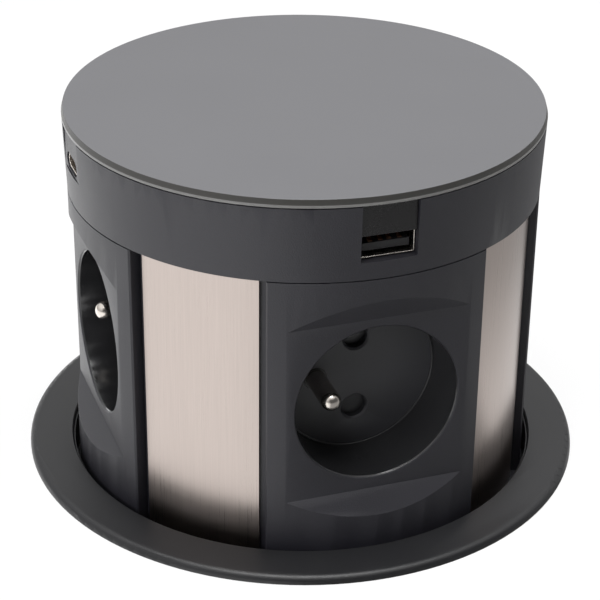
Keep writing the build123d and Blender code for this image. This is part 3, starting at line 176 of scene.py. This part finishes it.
class Finish:
    """A node graph in a new material, or in a new world, whose varying sockets take wires."""

    def __init__(self, name, kind=bpy.data.materials):
        self.material = kind.new(name)
        self.material.use_nodes = True
        self.tree = self.material.node_tree
        self.tree.nodes.clear()

    def add(self, kind, settings, sockets, output=0):
        """Any node: its settings first, then values or wires by socket name or number."""
        node = self.tree.nodes.new("ShaderNode" + kind)
        for name, value in settings.items():
            setattr(node, name, value)
        for name, value in sockets.items():
            if isinstance(value, Wire):
                self.tree.links.new(value.socket, node.inputs[name])
            else:
                node.inputs[name].default_value = value
        return Wire(self, node.outputs[output]) if node.outputs else None

    def place(self, turn=0.0, origin=(0.0, 0.0, 0.0)):
        """Object coordinates in metres, seen from origin and turned about Z."""
        raw = self.add("TexCoord", {}, {}, "Object")
        moved = self.add("VectorMath", {"operation": "SUBTRACT"}, {0: raw, 1: origin})
        return self.add("Mapping", {}, {"Vector": moved, "Rotation": (0.0, 0.0, turn)})

    def axis(self, vector, letter):
        return self.add("SeparateXYZ", {}, {"Vector": vector}, letter)

    def noise(self, vector, size, detail=2.0, roughness=0.5):
        """Soft random lumps of about the given size in metres, from 0 to 1."""
        sockets = {"Vector": vector, "Scale": 1 / size, "Detail": detail, "Roughness": roughness}
        return self.add("TexNoise", {}, sockets, "Fac")

    def stretched(self, vector, x, y, z):
        """Coordinates multiplied along each axis, for streaks."""
        return self.add("VectorMath", {"operation": "MULTIPLY"}, {0: vector, 1: (x, y, z)})

    def colour(self, factor, first, second):
        """A mix of two colours, or of two wires that carry a colour."""
        sockets = {0: factor, 6: rgba(first), 7: rgba(second)}
        return self.add("Mix", {"data_type": "RGBA"}, sockets, 2)

    def edges(self, radius):
        """1 along edges, 0 on open faces: how far a rounded normal leans from the real one."""
        rounded = self.add("Bevel", {"samples": 4}, {"Radius": radius})
        real = self.add("NewGeometry", {}, {}, "Normal")
        lean = self.add("VectorMath", {"operation": "DOT_PRODUCT"}, {0: rounded, 1: real}, "Value")
        return (1.0 - lean).step(0.02, 0.2)

    def bump(self, height, depth):
        """A normal tilted by a height from 0 to 1 that stands for a depth in metres."""
        return self.add("Bump", {}, {"Height": height, "Distance": depth, "Strength": 1.0})

    def done(self, **sockets):
        """The Principled shader and the output; returns the finished material."""
        titles = {name: name.replace("_", " ").title().replace("Ior", "IOR") for name in sockets}
        named = {titles[name]: value for name, value in sockets.items()}
        shader = self.add("BsdfPrincipled", {}, named)
        self.add("OutputMaterial", {}, {"Surface": shader})
        return self.material


def rgba(value):
    """A colour with an alpha of one; a wire stays as it is."""
    return value if isinstance(value, Wire) else (*value, 1.0)


def shades(base, *shares):
    """The same colour at several strengths, none above white."""
    return [tuple(min(1.0, share * part) for part in base) for share in shares]


# %% [markdown]
# Most of the object is one moulded black plastic. Up close it has a spark-eroded grain of about a
# third of a millimetre, edges that are rubbed a little lighter, and a faint unevenness of gloss.
# The grain is mostly a bump, because on the real surface it is height, with a trace of tint.

# %% Moulded plastics
GRAIN = 0.34 * MM
WORN_WIDTH = 0.35 * MM
PLASTIC_IOR = 1.58      # polycarbonate


def grain_and_wear(finish, place, base, wear_and_highlight, cloud_size, patch_size):
    """What grained plastics share: fine grain, broad clouds, rubbed edges, and their colour."""
    fine = finish.noise(place, GRAIN, 3.0, 0.6)
    cloud = finish.noise(place, cloud_size)
    edge = finish.edges(WORN_WIDTH) * finish.noise(place, patch_size).step(0.3, 0.7)
    dark, bright, pale = shades(base, 0.72, 1.28, wear_and_highlight)
    tint = finish.colour(cloud * 0.5 + fine.step(0.3, 0.7) * 0.5, dark, bright)
    return fine, cloud, edge, finish.colour(edge * 0.6, tint, pale)


def moulded(name, base, roughness, grain_depth, wear_and_highlight=1.6, ior=PLASTIC_IOR):
    """Grained plastic: colour, its rubbed edges, and gloss that varies with the handling."""
    finish = Finish(name)
    place = finish.place()
    fine, cloud, edge, colour = grain_and_wear(finish, place, base, wear_and_highlight, 14 * MM, 2.2 * MM)
    gloss = cloud.spread(roughness - 0.04, roughness + 0.04) + (fine - 0.5) * 0.06 - edge * 0.08
    return finish.done(base_color=colour, roughness=gloss, ior=ior,
                       normal=finish.bump(fine, grain_depth))


BODY_COLOUR = (0.0132, 0.0128, 0.0172)
FLANGE_COLOUR = (0.0088, 0.0088, 0.0100)
INNER_COLOUR = (0.030, 0.030, 0.032)
WHITE_COLOUR = (0.72, 0.71, 0.67)

# %% [markdown]
# Each socket face has three finishes in one moulding: grained outside, satin on the floor of the
# round recess, and polished like glass on the recess's wall, where the mould was a turned steel
# core. One material holds them all. Two masks say where the wall and the floor are, from the
# distance to the recess's axis and from the depth behind the flat face. The floor is also painted
# paler than the plastic outside: painted light, for the light that the deep recess shuts out.


# %% Socket faces
def face_plastic(side, azimuth):
    """Grained outside, satin and painted light on the recess's floor, and polished on its wall."""
    finish = Finish("face_plastic_" + side)
    place = finish.place(-radians(azimuth), (0.0, 0.0, RECESS_HEIGHT))
    x, y, z = (finish.axis(place, letter) for letter in "XYZ")
    away = (x * x + z * z) ** 0.5
    near = 1.0 - away.step(RECESS_RADIUS + 0.16 * MM, RECESS_RADIUS + 0.3 * MM)
    inside = near * y.step(-FACE_DISTANCE - 0.2 * MM, -FACE_DISTANCE + 0.05 * MM)
    floor = inside * y.step(-FLOOR_DISTANCE - 0.5 * MM, -FLOOR_DISTANCE - 0.2 * MM)
    wall = inside - floor
    fine, cloud, edge, outside = grain_and_wear(finish, place, BODY_COLOUR, 1.7, 11 * MM, 2.0 * MM)
    # Painted light: the recess's floor is painted paler than the outside, for the light it doesn't get.
    colour = finish.colour(floor, outside, (0.032, 0.032, 0.036))
    colour = finish.colour(wall, colour, (0.014, 0.014, 0.015))
    grained = cloud.spread(0.46, 0.54) + (fine - 0.5) * 0.08 - edge * 0.08
    satin, polished = cloud.spread(0.42, 0.48), cloud.spread(0.13, 0.19)
    gloss = grained * (1.0 - inside) + satin * floor + polished * wall
    height = fine * (1.0 - inside * 0.85)
    return finish.done(base_color=colour, roughness=gloss, ior=PLASTIC_IOR,
                       normal=finish.bump(height, 0.06 * MM))


# %% [markdown]
# The lid is the same plastic with a softer touch finish. Its disc is painted paler than the body:
# painted sheen, for the light from above that its fine texture catches. Its steep bevel is smooth
# and left out of the painted sheen, so it shows as a dark band, with a painted highlight line
# along its lower edge, where the edge catches the light. Its steep bevel is smooth, and shows as a dark
# band, with
# a line along its lower edge where hands have rubbed it paler.

# %% Lid
LID_EDGE = TOWER_TOP - 1.4 * MM


def lid_plastic():
    """A disc painted pale as painted sheen, a dark bevel, and a painted highlight line below it."""
    finish = Finish("lid_plastic")
    place = finish.place()
    x, y, z = (finish.axis(place, letter) for letter in "XYZ")
    away = (x * x + y * y) ** 0.5
    rim = away.step(LID_RADIUS - 0.47 * MM, LID_RADIUS - 0.39 * MM)
    # Mask of the painted highlight: a thin line along the bevel's lower edge, where it catches light.
    wear_and_highlight = rim * (1.0 - z.step(LID_EDGE + 0.02 * MM, LID_EDGE + 0.2 * MM))
    fine = finish.noise(place, 0.3 * MM, 3.0, 0.6)
    cloud = finish.noise(place, 25 * MM)
    # Painted sheen: the disc's pale colour stands for the light from above that its texture catches.
    satin = finish.colour(cloud, (0.092, 0.092, 0.098), (0.101, 0.101, 0.107))
    colour = finish.colour(rim, satin, (0.030, 0.029, 0.027))
    # A painted highlight: the line along the bevel's lower edge is painted pale.
    colour = finish.colour(wear_and_highlight * cloud.spread(0.6, 0.9), colour, (0.17, 0.168, 0.165))
    disc_gloss, rim_gloss = cloud.spread(0.40, 0.46) + (fine - 0.5) * 0.06, 0.45 - wear_and_highlight * 0.1
    gloss = disc_gloss * (1.0 - rim) + rim_gloss * rim
    height = fine * (1.0 - rim * 0.8)
    return finish.done(base_color=colour, roughness=gloss, normal=finish.bump(height, 0.018 * MM))


# %% [markdown]
# The steel panels are brushed up and down. Brushing is random across the strokes and almost
# constant along them, so the noise is read from coordinates that are squeezed across Z: the same
# pattern drives the tint, the roughness and a shallow bump.


# %% Metals
STROKE_WIDTH, STROKE_LENGTH = 0.12 * MM, 22 * MM


def brushed(name, base, roughness):
    """Steel with vertical strokes: long thin streaks of colour, gloss and height."""
    finish = Finish(name)
    place = finish.place()
    slim = STROKE_LENGTH / STROKE_WIDTH
    streak = finish.noise(finish.stretched(place, slim, slim, 1.0), STROKE_LENGTH, 4.0, 0.65)
    broad = finish.noise(finish.stretched(place, 6.0, 6.0, 1.0), 30 * MM)
    edge = finish.edges(0.3 * MM)
    dark, pale, wear_and_highlight = shades(base, 0.8, 1.15, 1.2)
    colour = finish.colour(streak, dark, pale)
    colour = finish.colour(edge * 0.5, colour, wear_and_highlight)
    gloss = streak.spread(roughness - 0.07, roughness + 0.09) + (broad - 0.5) * 0.06
    return finish.done(base_color=colour, metallic=1.0, roughness=gloss,
                       normal=finish.bump(streak, 0.006 * MM))


def plain_metal(name, base, roughness):
    """Plated, drawn or stamped metal: nearly smooth, with faint rolling marks and dull spots."""
    finish = Finish(name)
    place = finish.place()
    marks = finish.noise(place, 0.8 * MM, 3.0, 0.6)
    stain = finish.noise(place, 5 * MM, 2.0)
    edge = finish.edges(0.15 * MM)
    dark, pale = shades(base, 0.82, 1.12)
    colour = finish.colour(stain, dark, base)
    colour = finish.colour(edge * 0.5, colour, pale)
    gloss = marks.spread(roughness - 0.04, roughness + 0.06) + (stain - 0.5) * 0.08
    return finish.done(base_color=colour, metallic=1.0, roughness=gloss,
                       normal=finish.bump(marks, 0.003 * MM))


def pin_metal():
    """Nickel plate; the shoulder at the recess's floor is painted dark and dull, as painted shade."""
    finish = Finish("pin_metal")
    place = finish.place()
    x, y = finish.axis(place, "X"), finish.axis(place, "Y")
    depth = (x * x).larger(y * y) ** 0.5
    nickel_unshaded = depth.step(FLOOR_DISTANCE + 0.02 * MM, FLOOR_DISTANCE + 0.1 * MM)
    marks = finish.noise(place, 0.5 * MM, 3.0, 0.6)
    stain = finish.noise(place, 3 * MM)
    nickel = finish.colour(stain, (0.62, 0.56, 0.50), (0.78, 0.74, 0.69))
    # Painted shade: the shoulder is painted dark and not metallic, for the dark recess its nickel
    # mirrors.
    colour = finish.colour(nickel_unshaded, (0.02, 0.02, 0.02), nickel)
    return finish.done(base_color=colour, metallic=nickel_unshaded, roughness=marks.spread(0.16, 0.26),
                       normal=finish.bump(marks, 0.003 * MM))


def board_laminate():
    """Green lacquer over copper tracks that run as lanes."""
    finish = Finish("board_laminate")
    place = finish.place()
    lanes = finish.noise(finish.stretched(place, 1.0, 6.0, 1.0), 9 * MM, 0.0)
    track = lanes.step(0.46, 0.5) * (1.0 - lanes.step(0.54, 0.58))
    cloud = finish.noise(place, 6 * MM)
    colour = finish.colour(track, (0.012, 0.075, 0.03), (0.035, 0.15, 0.055))
    return finish.done(base_color=colour, roughness=cloud.spread(0.2, 0.34),
                       coat_weight=0.4 * track + 0.2, normal=finish.bump(track, 0.03 * MM))


def seal_rubber():
    """Soft black rubber with a fine skin and a dusting of paler wear."""
    finish = Finish("seal_rubber")
    place = finish.place()
    skin = finish.noise(place, 0.25 * MM, 2.0)
    dust = finish.noise(place, 4 * MM, 3.0).step(0.45, 0.8)
    colour = finish.colour(dust, (0.012, 0.012, 0.012), (0.03, 0.03, 0.03))
    return finish.done(base_color=colour, roughness=dust.spread(0.7, 0.85),
                       normal=finish.bump(skin, 0.01 * MM))


MATERIALS = {
    "flange_plastic": moulded("flange_plastic", FLANGE_COLOUR, 0.43, 0.035 * MM, ior=1.5),
    "body_plastic": moulded("body_plastic", BODY_COLOUR, 0.48, 0.06 * MM),
    "window_plastic": moulded("window_plastic", (0.005, 0.0045, 0.005), 0.27, 0.002 * MM, 7.0),
    "lid_plastic": lid_plastic(),
    "inner_plastic": moulded("inner_plastic", INNER_COLOUR, 0.42, 0.006 * MM),
    "corner_plastic": moulded("corner_plastic", (0.010, 0.010, 0.011), 0.27, 0.002 * MM),
    "tongue_plastic": moulded("tongue_plastic", (0.010, 0.010, 0.011), 0.35, 0.004 * MM),
    "white_plastic": moulded("white_plastic", WHITE_COLOUR, 0.38, 0.004 * MM, 1.15),
    "panel_steel": brushed("panel_steel", (0.495, 0.43, 0.397), roughness=0.29),
    "bright_metal": plain_metal("bright_metal", (0.88, 0.82, 0.75), 0.27),
    "pin_metal": pin_metal(),
    "port_copper": plain_metal("port_copper", (0.42, 0.24, 0.16), 0.3),
    "spring_steel": plain_metal("spring_steel", (0.42, 0.42, 0.43), 0.3),
    "screw_steel": plain_metal("screw_steel", (0.6, 0.6, 0.58), 0.3),
    "contact_brass": plain_metal("contact_brass", (0.72, 0.53, 0.24), 0.28),
    "seal_rubber": seal_rubber(),
    "board_laminate": board_laminate(),
}
OWN_FINISH = {
    "usb_a_bezel": "window_plastic",
    "usb_a_tongue": "tongue_plastic", "usb_c_tongue": "tongue_plastic",
}
OWN_FINISH.update({"earth_pin_" + side: "pin_metal" for side in SIDE_AZIMUTHS})
FACE_MATERIALS = {side: face_plastic(side, azimuth) for side, azimuth in SIDE_AZIMUTHS.items()}


def material_of(node):
    """A node's finish: its slot's, except for the socket faces, the earth pins and the ports."""
    if node.startswith("socket_face_"):
        return FACE_MATERIALS[node.removeprefix("socket_face_")]
    return MATERIALS[OWN_FINISH.get(node, SLOT_OF[node])]


for name, node in frame["nodes"].items():
    node.data.materials.clear()
    node.data.materials.append(material_of(name))
print("finishes made:", len(MATERIALS) + len(FACE_MATERIALS))

# %% [markdown]
# No moulded or pressed edge is perfectly sharp, and a sharp one never catches the light. The
# frame's meshes can't be changed, so a copy of each visible one is welded, its flat triangles are
# joined, and a Bevel modifier rounds its corners. The copy then stands in for the node.


# %% Rounded edges
SHARP_ANGLE = radians(30)
FLAT_ANGLE = radians(0.6)
SAME_POINT = 0.002 * MM


def register(piece, node_name):
    """Hangs a piece on the body that its node rides on, and hides the node it stands for."""
    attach(piece, BODY_OF[node_name])
    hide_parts(node_name)


def rounded(node_name, width):
    """A welded copy of a node with its corners rounded to a width in metres."""
    mesh = frame["nodes"][node_name].data.copy()
    mesh.name = node_name + "_rounded"
    shape = bmesh.new()
    shape.from_mesh(mesh)
    bmesh.ops.remove_doubles(shape, verts=shape.verts, dist=SAME_POINT)
    bmesh.ops.dissolve_limit(shape, angle_limit=FLAT_ANGLE, verts=shape.verts, edges=shape.edges)
    shape.to_mesh(mesh)
    shape.free()
    mesh.shade_smooth()
    mesh.set_sharp_from_angle(angle=SHARP_ANGLE)
    piece = bpy.data.objects.new(node_name + "_rounded", mesh)
    bpy.context.scene.collection.objects.link(piece)
    bevel = piece.modifiers.new("edge", "BEVEL")
    bevel.limit_method, bevel.angle_limit = "ANGLE", SHARP_ANGLE
    bevel.width, bevel.segments = width, 2
    bevel.harden_normals = True
    register(piece, node_name)
    return piece


EDGE_WIDTHS = {         # millimetres
    "cap_body": 0.05, "cap_lid": 0.08, "usb_a_bezel": 0.22, "usb_c_bezel": 0.18,
    "guide_ring": 0.25, "desk_flange": 0.25, "ring_nut": 0.5, "clamp_washer": 0.4,
    "base_cover": 0.5, "cable_gland_body": 0.35, "cable_gland_nut": 0.35,
    "usb_a_shell": 0.13, "usb_c_shell": 0.1,
}
EDGE_WIDTHS.update({"socket_face_" + side: 0.22 for side in SIDE_AZIMUTHS})
EDGE_WIDTHS.update({"steel_panel_" + corner: 0.12 for corner in CORNERS})
pieces = {node: rounded(node, width * MM) for node, width in EDGE_WIDTHS.items()}
print("rounded copies:", len(pieces))

# %% [markdown]
# In the photograph the left port lies almost flush with the wall round it. The copies of its
# cover and of its metal shell are brought forward by moving their foremost points, all at once as
# one array, before the Bevel modifier rounds them. They stay inside the cap's wall.

# %% Left port, brought forward
COVER_FRONT, COVER_FORWARD = 57.1 * MM, 0.7 * MM
SHELL_FRONT, SHELL_FORWARD = 56.5 * MM, 0.95 * MM


def bring_forward(piece, front, distance):
    """Moves each point that lies beyond the front, on the left side, further left by the distance."""
    points = np.empty(3 * len(piece.data.vertices))
    piece.data.vertices.foreach_get("co", points)
    points = points.reshape(-1, 3)
    beyond = points[:, 0] < -front
    points[:, 0] -= distance * beyond
    piece.data.vertices.foreach_set("co", points.ravel())
    piece.data.update()
    return int(beyond.sum())


print("points moved:", bring_forward(pieces["usb_c_bezel"], COVER_FRONT, COVER_FORWARD),
      bring_forward(pieces["usb_c_shell"], SHELL_FRONT, SHELL_FORWARD))

# %% [markdown]
# New parts are surfaces: a grid of points worked out as whole arrays. One helper turns a grid
# into a mesh. It joins the last column to the first where the surface closes on itself, and adds
# a cap at each end of a tube, so that no piece is left open.


# %% Surfaces from grids
CREASE_ANGLE = radians(32)


def surface(name, grids, material, caps=True):
    """One mesh from grids of shape (rows, columns, 3) whose columns close into rings."""
    points, faces, start = [], [], 0
    for grid in grids:
        rows, columns = grid.shape[:2]
        index = start + np.arange(rows * columns).reshape(rows, columns)
        ahead = np.roll(index, -1, axis=1)
        quads = np.stack([index[:-1], ahead[:-1], ahead[1:], index[1:]], axis=-1).reshape(-1, 4)
        faces += quads.tolist()
        if caps:
            faces += [index[0, ::-1].tolist(), index[-1].tolist()]
        points.append(grid.reshape(-1, 3))
        start += rows * columns
    mesh = bpy.data.meshes.new(name)
    mesh.from_pydata(np.concatenate(points).tolist(), [], faces)
    shape = bmesh.new()
    shape.from_mesh(mesh)
    bmesh.ops.recalc_face_normals(shape, faces=shape.faces)
    shape.to_mesh(mesh)
    shape.free()
    mesh.shade_smooth()
    mesh.set_sharp_from_angle(angle=CREASE_ANGLE)
    mesh.materials.append(material)
    piece = bpy.data.objects.new(name, mesh)
    bpy.context.scene.collection.objects.link(piece)
    return piece


# %% [markdown]
# The lift spring shortens as the tower is pressed. Here it is a coil of wire at its full length,
# which stands in for the spring's node.

# %% Lift spring
WIRE_RADIUS = 0.9 * MM
SPRING_TURNS = 20
CLOSED_TURNS = 1.0
SPRING_STEPS = 40 * SPRING_TURNS
WIRE_SIDES = 10


def coil(radius, low, high):
    """A circle carried along a helix: the height rises by a wire's width a turn at the ends."""
    turns = np.linspace(0.0, SPRING_TURNS, SPRING_STEPS)
    closed = 2 * WIRE_RADIUS * CLOSED_TURNS
    knots = [0.0, CLOSED_TURNS, SPRING_TURNS - CLOSED_TURNS, SPRING_TURNS]
    height = np.interp(turns, knots, [low, low + closed, high - closed, high])[:, None]
    angle = 2 * pi * turns[:, None]
    around = np.linspace(0.0, 2 * pi, WIRE_SIDES, endpoint=False)
    out = radius + WIRE_RADIUS * np.cos(around)
    up = height + WIRE_RADIUS * np.sin(around)
    return np.stack([out * np.cos(angle), out * np.sin(angle), up], axis=-1)


spring_low, spring_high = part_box("lift_spring")
spring_length = spring_high.z - spring_low.z
slide = next(joint for joint in BEHAVIOUR["joints"] if joint["name"] == "tower_slide")
travel = max(abs(end) for end in slide["range_m"])
spring_grid = coil(spring_high.x - WIRE_RADIUS, spring_low.z + WIRE_RADIUS, spring_high.z - WIRE_RADIUS)
lift_coil = surface("lift_coil", [spring_grid], MATERIALS["spring_steel"])
register(lift_coil, "lift_spring")
(spring_length - travel) / spring_length
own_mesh(lift_coil)
print("spring", round(spring_length / MM, 1), "mm long, keeps", round(1 - travel / spring_length, 3))

# %% [markdown]
# The front port's four contacts are strips of gilt bronze on its tongue, each with a low hump near
# its tip. A strip is a rectangle carried along a path: the path runs from the back of the port to
# its mouth, and the hump is half a sine wave added to the height.

# %% Port contacts
TONGUE_THICKNESS = 2.8 * MM
CONTACT_WIDTH = 1.0 * MM
CONTACT_THICKNESS = 0.25 * MM
CONTACT_SIDES = (-3.5 * MM, -1.0 * MM, 1.0 * MM, 3.5 * MM)
HUMP = 0.55 * MM
HUMP_START, HUMP_SHARE = 0.55, 0.4


def strip(side, back, front, seat):
    """A rectangle carried along Y: its height is the seat plus half a sine wave near its tip."""
    share = np.linspace(0.0, 1.0, 25)[:, None]
    corners = np.array([(-0.5, 0.0), (0.5, 0.0), (0.5, 1.0), (-0.5, 1.0)])
    x = side + corners[:, 0] * CONTACT_WIDTH + 0.0 * share
    y = back + (front - back) * share + 0.0 * x
    lift = HUMP * np.sin(pi * np.clip((share - HUMP_START) / HUMP_SHARE, 0.0, 1.0))
    z = seat + lift + corners[:, 1] * CONTACT_THICKNESS
    return np.stack([x, y, z], axis=-1)


tongue_low, tongue_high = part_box("usb_a_tongue")
tongue_top = tongue_low.z + TONGUE_THICKNESS
strips = [strip(side, tongue_high.y - 3 * MM, tongue_low.y + 0.6 * MM, tongue_top)
          for side in CONTACT_SIDES]
usb_a_contacts = surface("usb_a_contacts", strips, MATERIALS["port_copper"])
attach(usb_a_contacts, "tower")
print("contacts in the front port:", len(strips))

# %% [markdown]
# In each recess the floor meets the wall in a small radius, which draws a thin curve of light. The
# corner is too fine to bevel inside the copy, so it is a ring of its own: a quarter circle and the
# corner behind it, carried round the recess's axis, once for each of the four sides.

# %% Recess corners
FILLET_RADIUS = 0.4 * MM
FILLET_SINK = 0.05 * MM


def fillet(azimuth):
    """A quarter circle: radius is the wall's less 1 - sin, depth is the floor's plus 1 - cos."""
    quarter = np.linspace(0.0, pi / 2, 9)
    out = RECESS_RADIUS - FILLET_RADIUS * (1.0 - np.sin(quarter))
    rise = FLOOR_DISTANCE + FILLET_RADIUS * (1.0 - np.cos(quarter))
    sunk_wall, sunk_floor = RECESS_RADIUS + FILLET_SINK, FLOOR_DISTANCE - FILLET_SINK
    out = np.append(out, [sunk_wall, sunk_wall, out[0]])
    rise = np.append(rise, [rise[-1], sunk_floor, sunk_floor])
    angle = np.linspace(0.0, 2 * pi, 120)[:, None]
    x, y = out * np.cos(angle), -rise + 0.0 * angle
    z = RECESS_HEIGHT + out * np.sin(angle)
    turn = radians(azimuth)
    return np.stack([x * cos(turn) - y * sin(turn), x * sin(turn) + y * cos(turn), z], axis=-1)


fillets = surface("recess_corners", [fillet(azimuth) for azimuth in SIDE_AZIMUTHS.values()],
                  MATERIALS["corner_plastic"], caps=False)
weld = fillets.modifiers.new("seam", "WELD")
weld.merge_threshold = 0.001 * MM
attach(fillets, "tower")
print("recess corners:", len(SIDE_AZIMUTHS), "rings of", len(fillets.data.polygons), "faces in all")

# %% [markdown]
# The stage is the desk's surface: a pale plane with a round cut-out, because the barrel goes
# through the desk. It is white to the camera, takes the object's soft shadow, and can't be seen
# from below, so that the parts under the desk show in low views. The upright walls of the tower
# mirror the desk, so its look to mirror rays shapes them: bright at the back and left, less so on
# the right, and dim in front, where the table ends and the dark room begins.

# %% Stage
CUTOUT_RADIUS = 66 * MM
DESK_RADII = (CUTOUT_RADIUS, 0.12, 0.4, 1.0, 3.0)
DARK_TOWARDS = radians(18.0)
BRIGHT_TOWARDS = radians(-115.0)
BACK_LEFT = radians(-165.0)


def towards(x, y, azimuth):
    """The cosine of the angle between a place and an azimuth, which counts from the front."""
    return (x * sin(azimuth) - y * cos(azimuth)) / (x * x + y * y) ** 0.5


def grey(level):
    return (level, level, level)


def stage_material():
    """White to the camera, graded to mirrors, with a trace of real shading for the shadow."""
    finish = Finish("desk_surface")
    place = finish.place()
    x, y = finish.axis(place, "X"), finish.axis(place, "Y")
    dim = towards(x, y, DARK_TOWARDS).step(0.72, 0.86)
    left = towards(x, y, BRIGHT_TOWARDS).step(-0.5, 0.4)
    back = towards(x, y, BACK_LEFT).step(0.3, 0.85)
    camera_ray = finish.add("LightPath", {}, {}, "Is Camera Ray")
    glossy_ray = finish.add("LightPath", {}, {}, "Is Glossy Ray")
    through_ray = finish.add("LightPath", {}, {}, "Is Transmission Ray")
    far = (x * x + y * y).step(0.05 ** 2, 0.17 ** 2)
    mirrored = finish.colour(far, grey(0.95), grey(0.33))
    mirrored = finish.colour(left, mirrored, grey(1.4))
    mirrored = finish.colour(back, mirrored, grey(1.9))
    mirrored = finish.colour(dim, mirrored, grey(0.2))
    tone = finish.colour(glossy_ray, grey(1.0), mirrored)
    seen = (camera_ray + glossy_ray + through_ray).smaller(1.0)
    grain = finish.noise(place, 3 * MM).spread(0.78, 0.8)
    paint = finish.add("BsdfPrincipled", {}, {"Base Color": rgba(grey(0.8)), "Roughness": grain})
    glow = finish.add("Emission", {}, {"Color": tone, "Strength": 1.0})
    top = finish.add("MixShader", {}, {0: seen * 0.86, 1: paint, 2: glow})
    behind = finish.add("NewGeometry", {}, {}, "Backfacing")
    clear = finish.add("BsdfTransparent", {}, {})
    shader = finish.add("MixShader", {}, {0: behind, 1: top, 2: clear})
    finish.add("OutputMaterial", {}, {"Surface": shader})
    return finish.material


def add_desk():
    """A flat ring whose rows grow from the cut-out to the desk's reach."""
    turn = np.linspace(0.0, 2 * pi, 96, endpoint=False)
    radius = np.array(DESK_RADII)[:, None]
    grid = np.stack([radius * np.cos(turn), radius * np.sin(turn), 0.0 * radius * turn], axis=-1)
    desk = surface("desk_surface", [grid], stage_material(), caps=False)
    if desk.data.polygons[0].normal.z < 0:
        desk.data.flip_normals()
    return desk


print("desk corners:", len(add_desk().data.vertices))

# %% [markdown]
# The light is a photographer's tent: pale all round, brighter overhead, and open in front, where
# it is dark. The world holds this, as levels that change with the direction. To the camera it is
# plain white. Three soft lamps add a key light from the left, a fill from the right and light
# from above for the lid.

# %% Light
MIDDLE = (0.0, 0.0, 0.04)
LAMPS = {               # place and size in metres, power in watts, and whether it is mirrored
    "key_lamp": ((-0.93, -0.66, 0.6), 0.4, 9.0, False),
    "top_lamp": ((-0.03, -0.07, 0.62), 0.35, 3.8, True),
    "right_lamp": ((1.0, 0.25, 0.45), 0.6, 8.5, False),
}


def add_world(even):
    """White to the camera, a tent to mirrors, and the same tent at a lower level to the rest."""
    tent = Finish("studio", bpy.data.worlds)
    ahead = tent.add("TexCoord", {}, {}, "Generated")
    x, y, z = (tent.axis(ahead, letter) for letter in "XYZ")
    height = z.step(0.1, 0.8)
    opening = towards(x, y, DARK_TOWARDS).step(0.25, 0.75) * (1.0 - z.step(0.55, 0.88))
    pale = tent.colour(height, grey(0.55), grey(1.1))
    tone = tent.colour(opening, pale, grey(0.1))
    mirror = tent.add("LightPath", {}, {}, "Is Glossy Ray")
    camera_ray = tent.add("LightPath", {}, {}, "Is Camera Ray")
    through_ray = tent.add("LightPath", {}, {}, "Is Transmission Ray")
    seen = camera_ray.larger(through_ray)
    level = mirror.spread(even, 1.0)
    lit = tent.add("Background", {}, {"Color": tone, "Strength": level})
    plain = tent.add("Background", {}, {"Color": rgba(grey(1.0)), "Strength": 1.0})
    shader = tent.add("MixShader", {}, {0: seen, 1: lit, 2: plain})
    tent.add("OutputWorld", {}, {"Surface": shader})
    bpy.context.scene.world = tent.material


def add_lamp(name, place, size, watts, mirrored):
    """A square soft lamp that faces the middle of the tower."""
    data = bpy.data.lights.new(name, "AREA")
    data.shape, data.size, data.energy = "SQUARE", size, watts
    lamp = bpy.data.objects.new(name, data)
    aim = (Vector(MIDDLE) - Vector(place)).to_track_quat("-Z", "Y")
    lamp.matrix_world = Matrix.Translation(place) @ aim.to_matrix().to_4x4()
    lamp.visible_camera = False
    lamp.visible_glossy = mirrored
    bpy.context.scene.collection.objects.link(lamp)


add_world(even=0.5)
for lamp_name, lamp_settings in LAMPS.items():
    add_lamp(lamp_name, *lamp_settings)
print("lamps:", [lamp.name for lamp in bpy.data.lights])
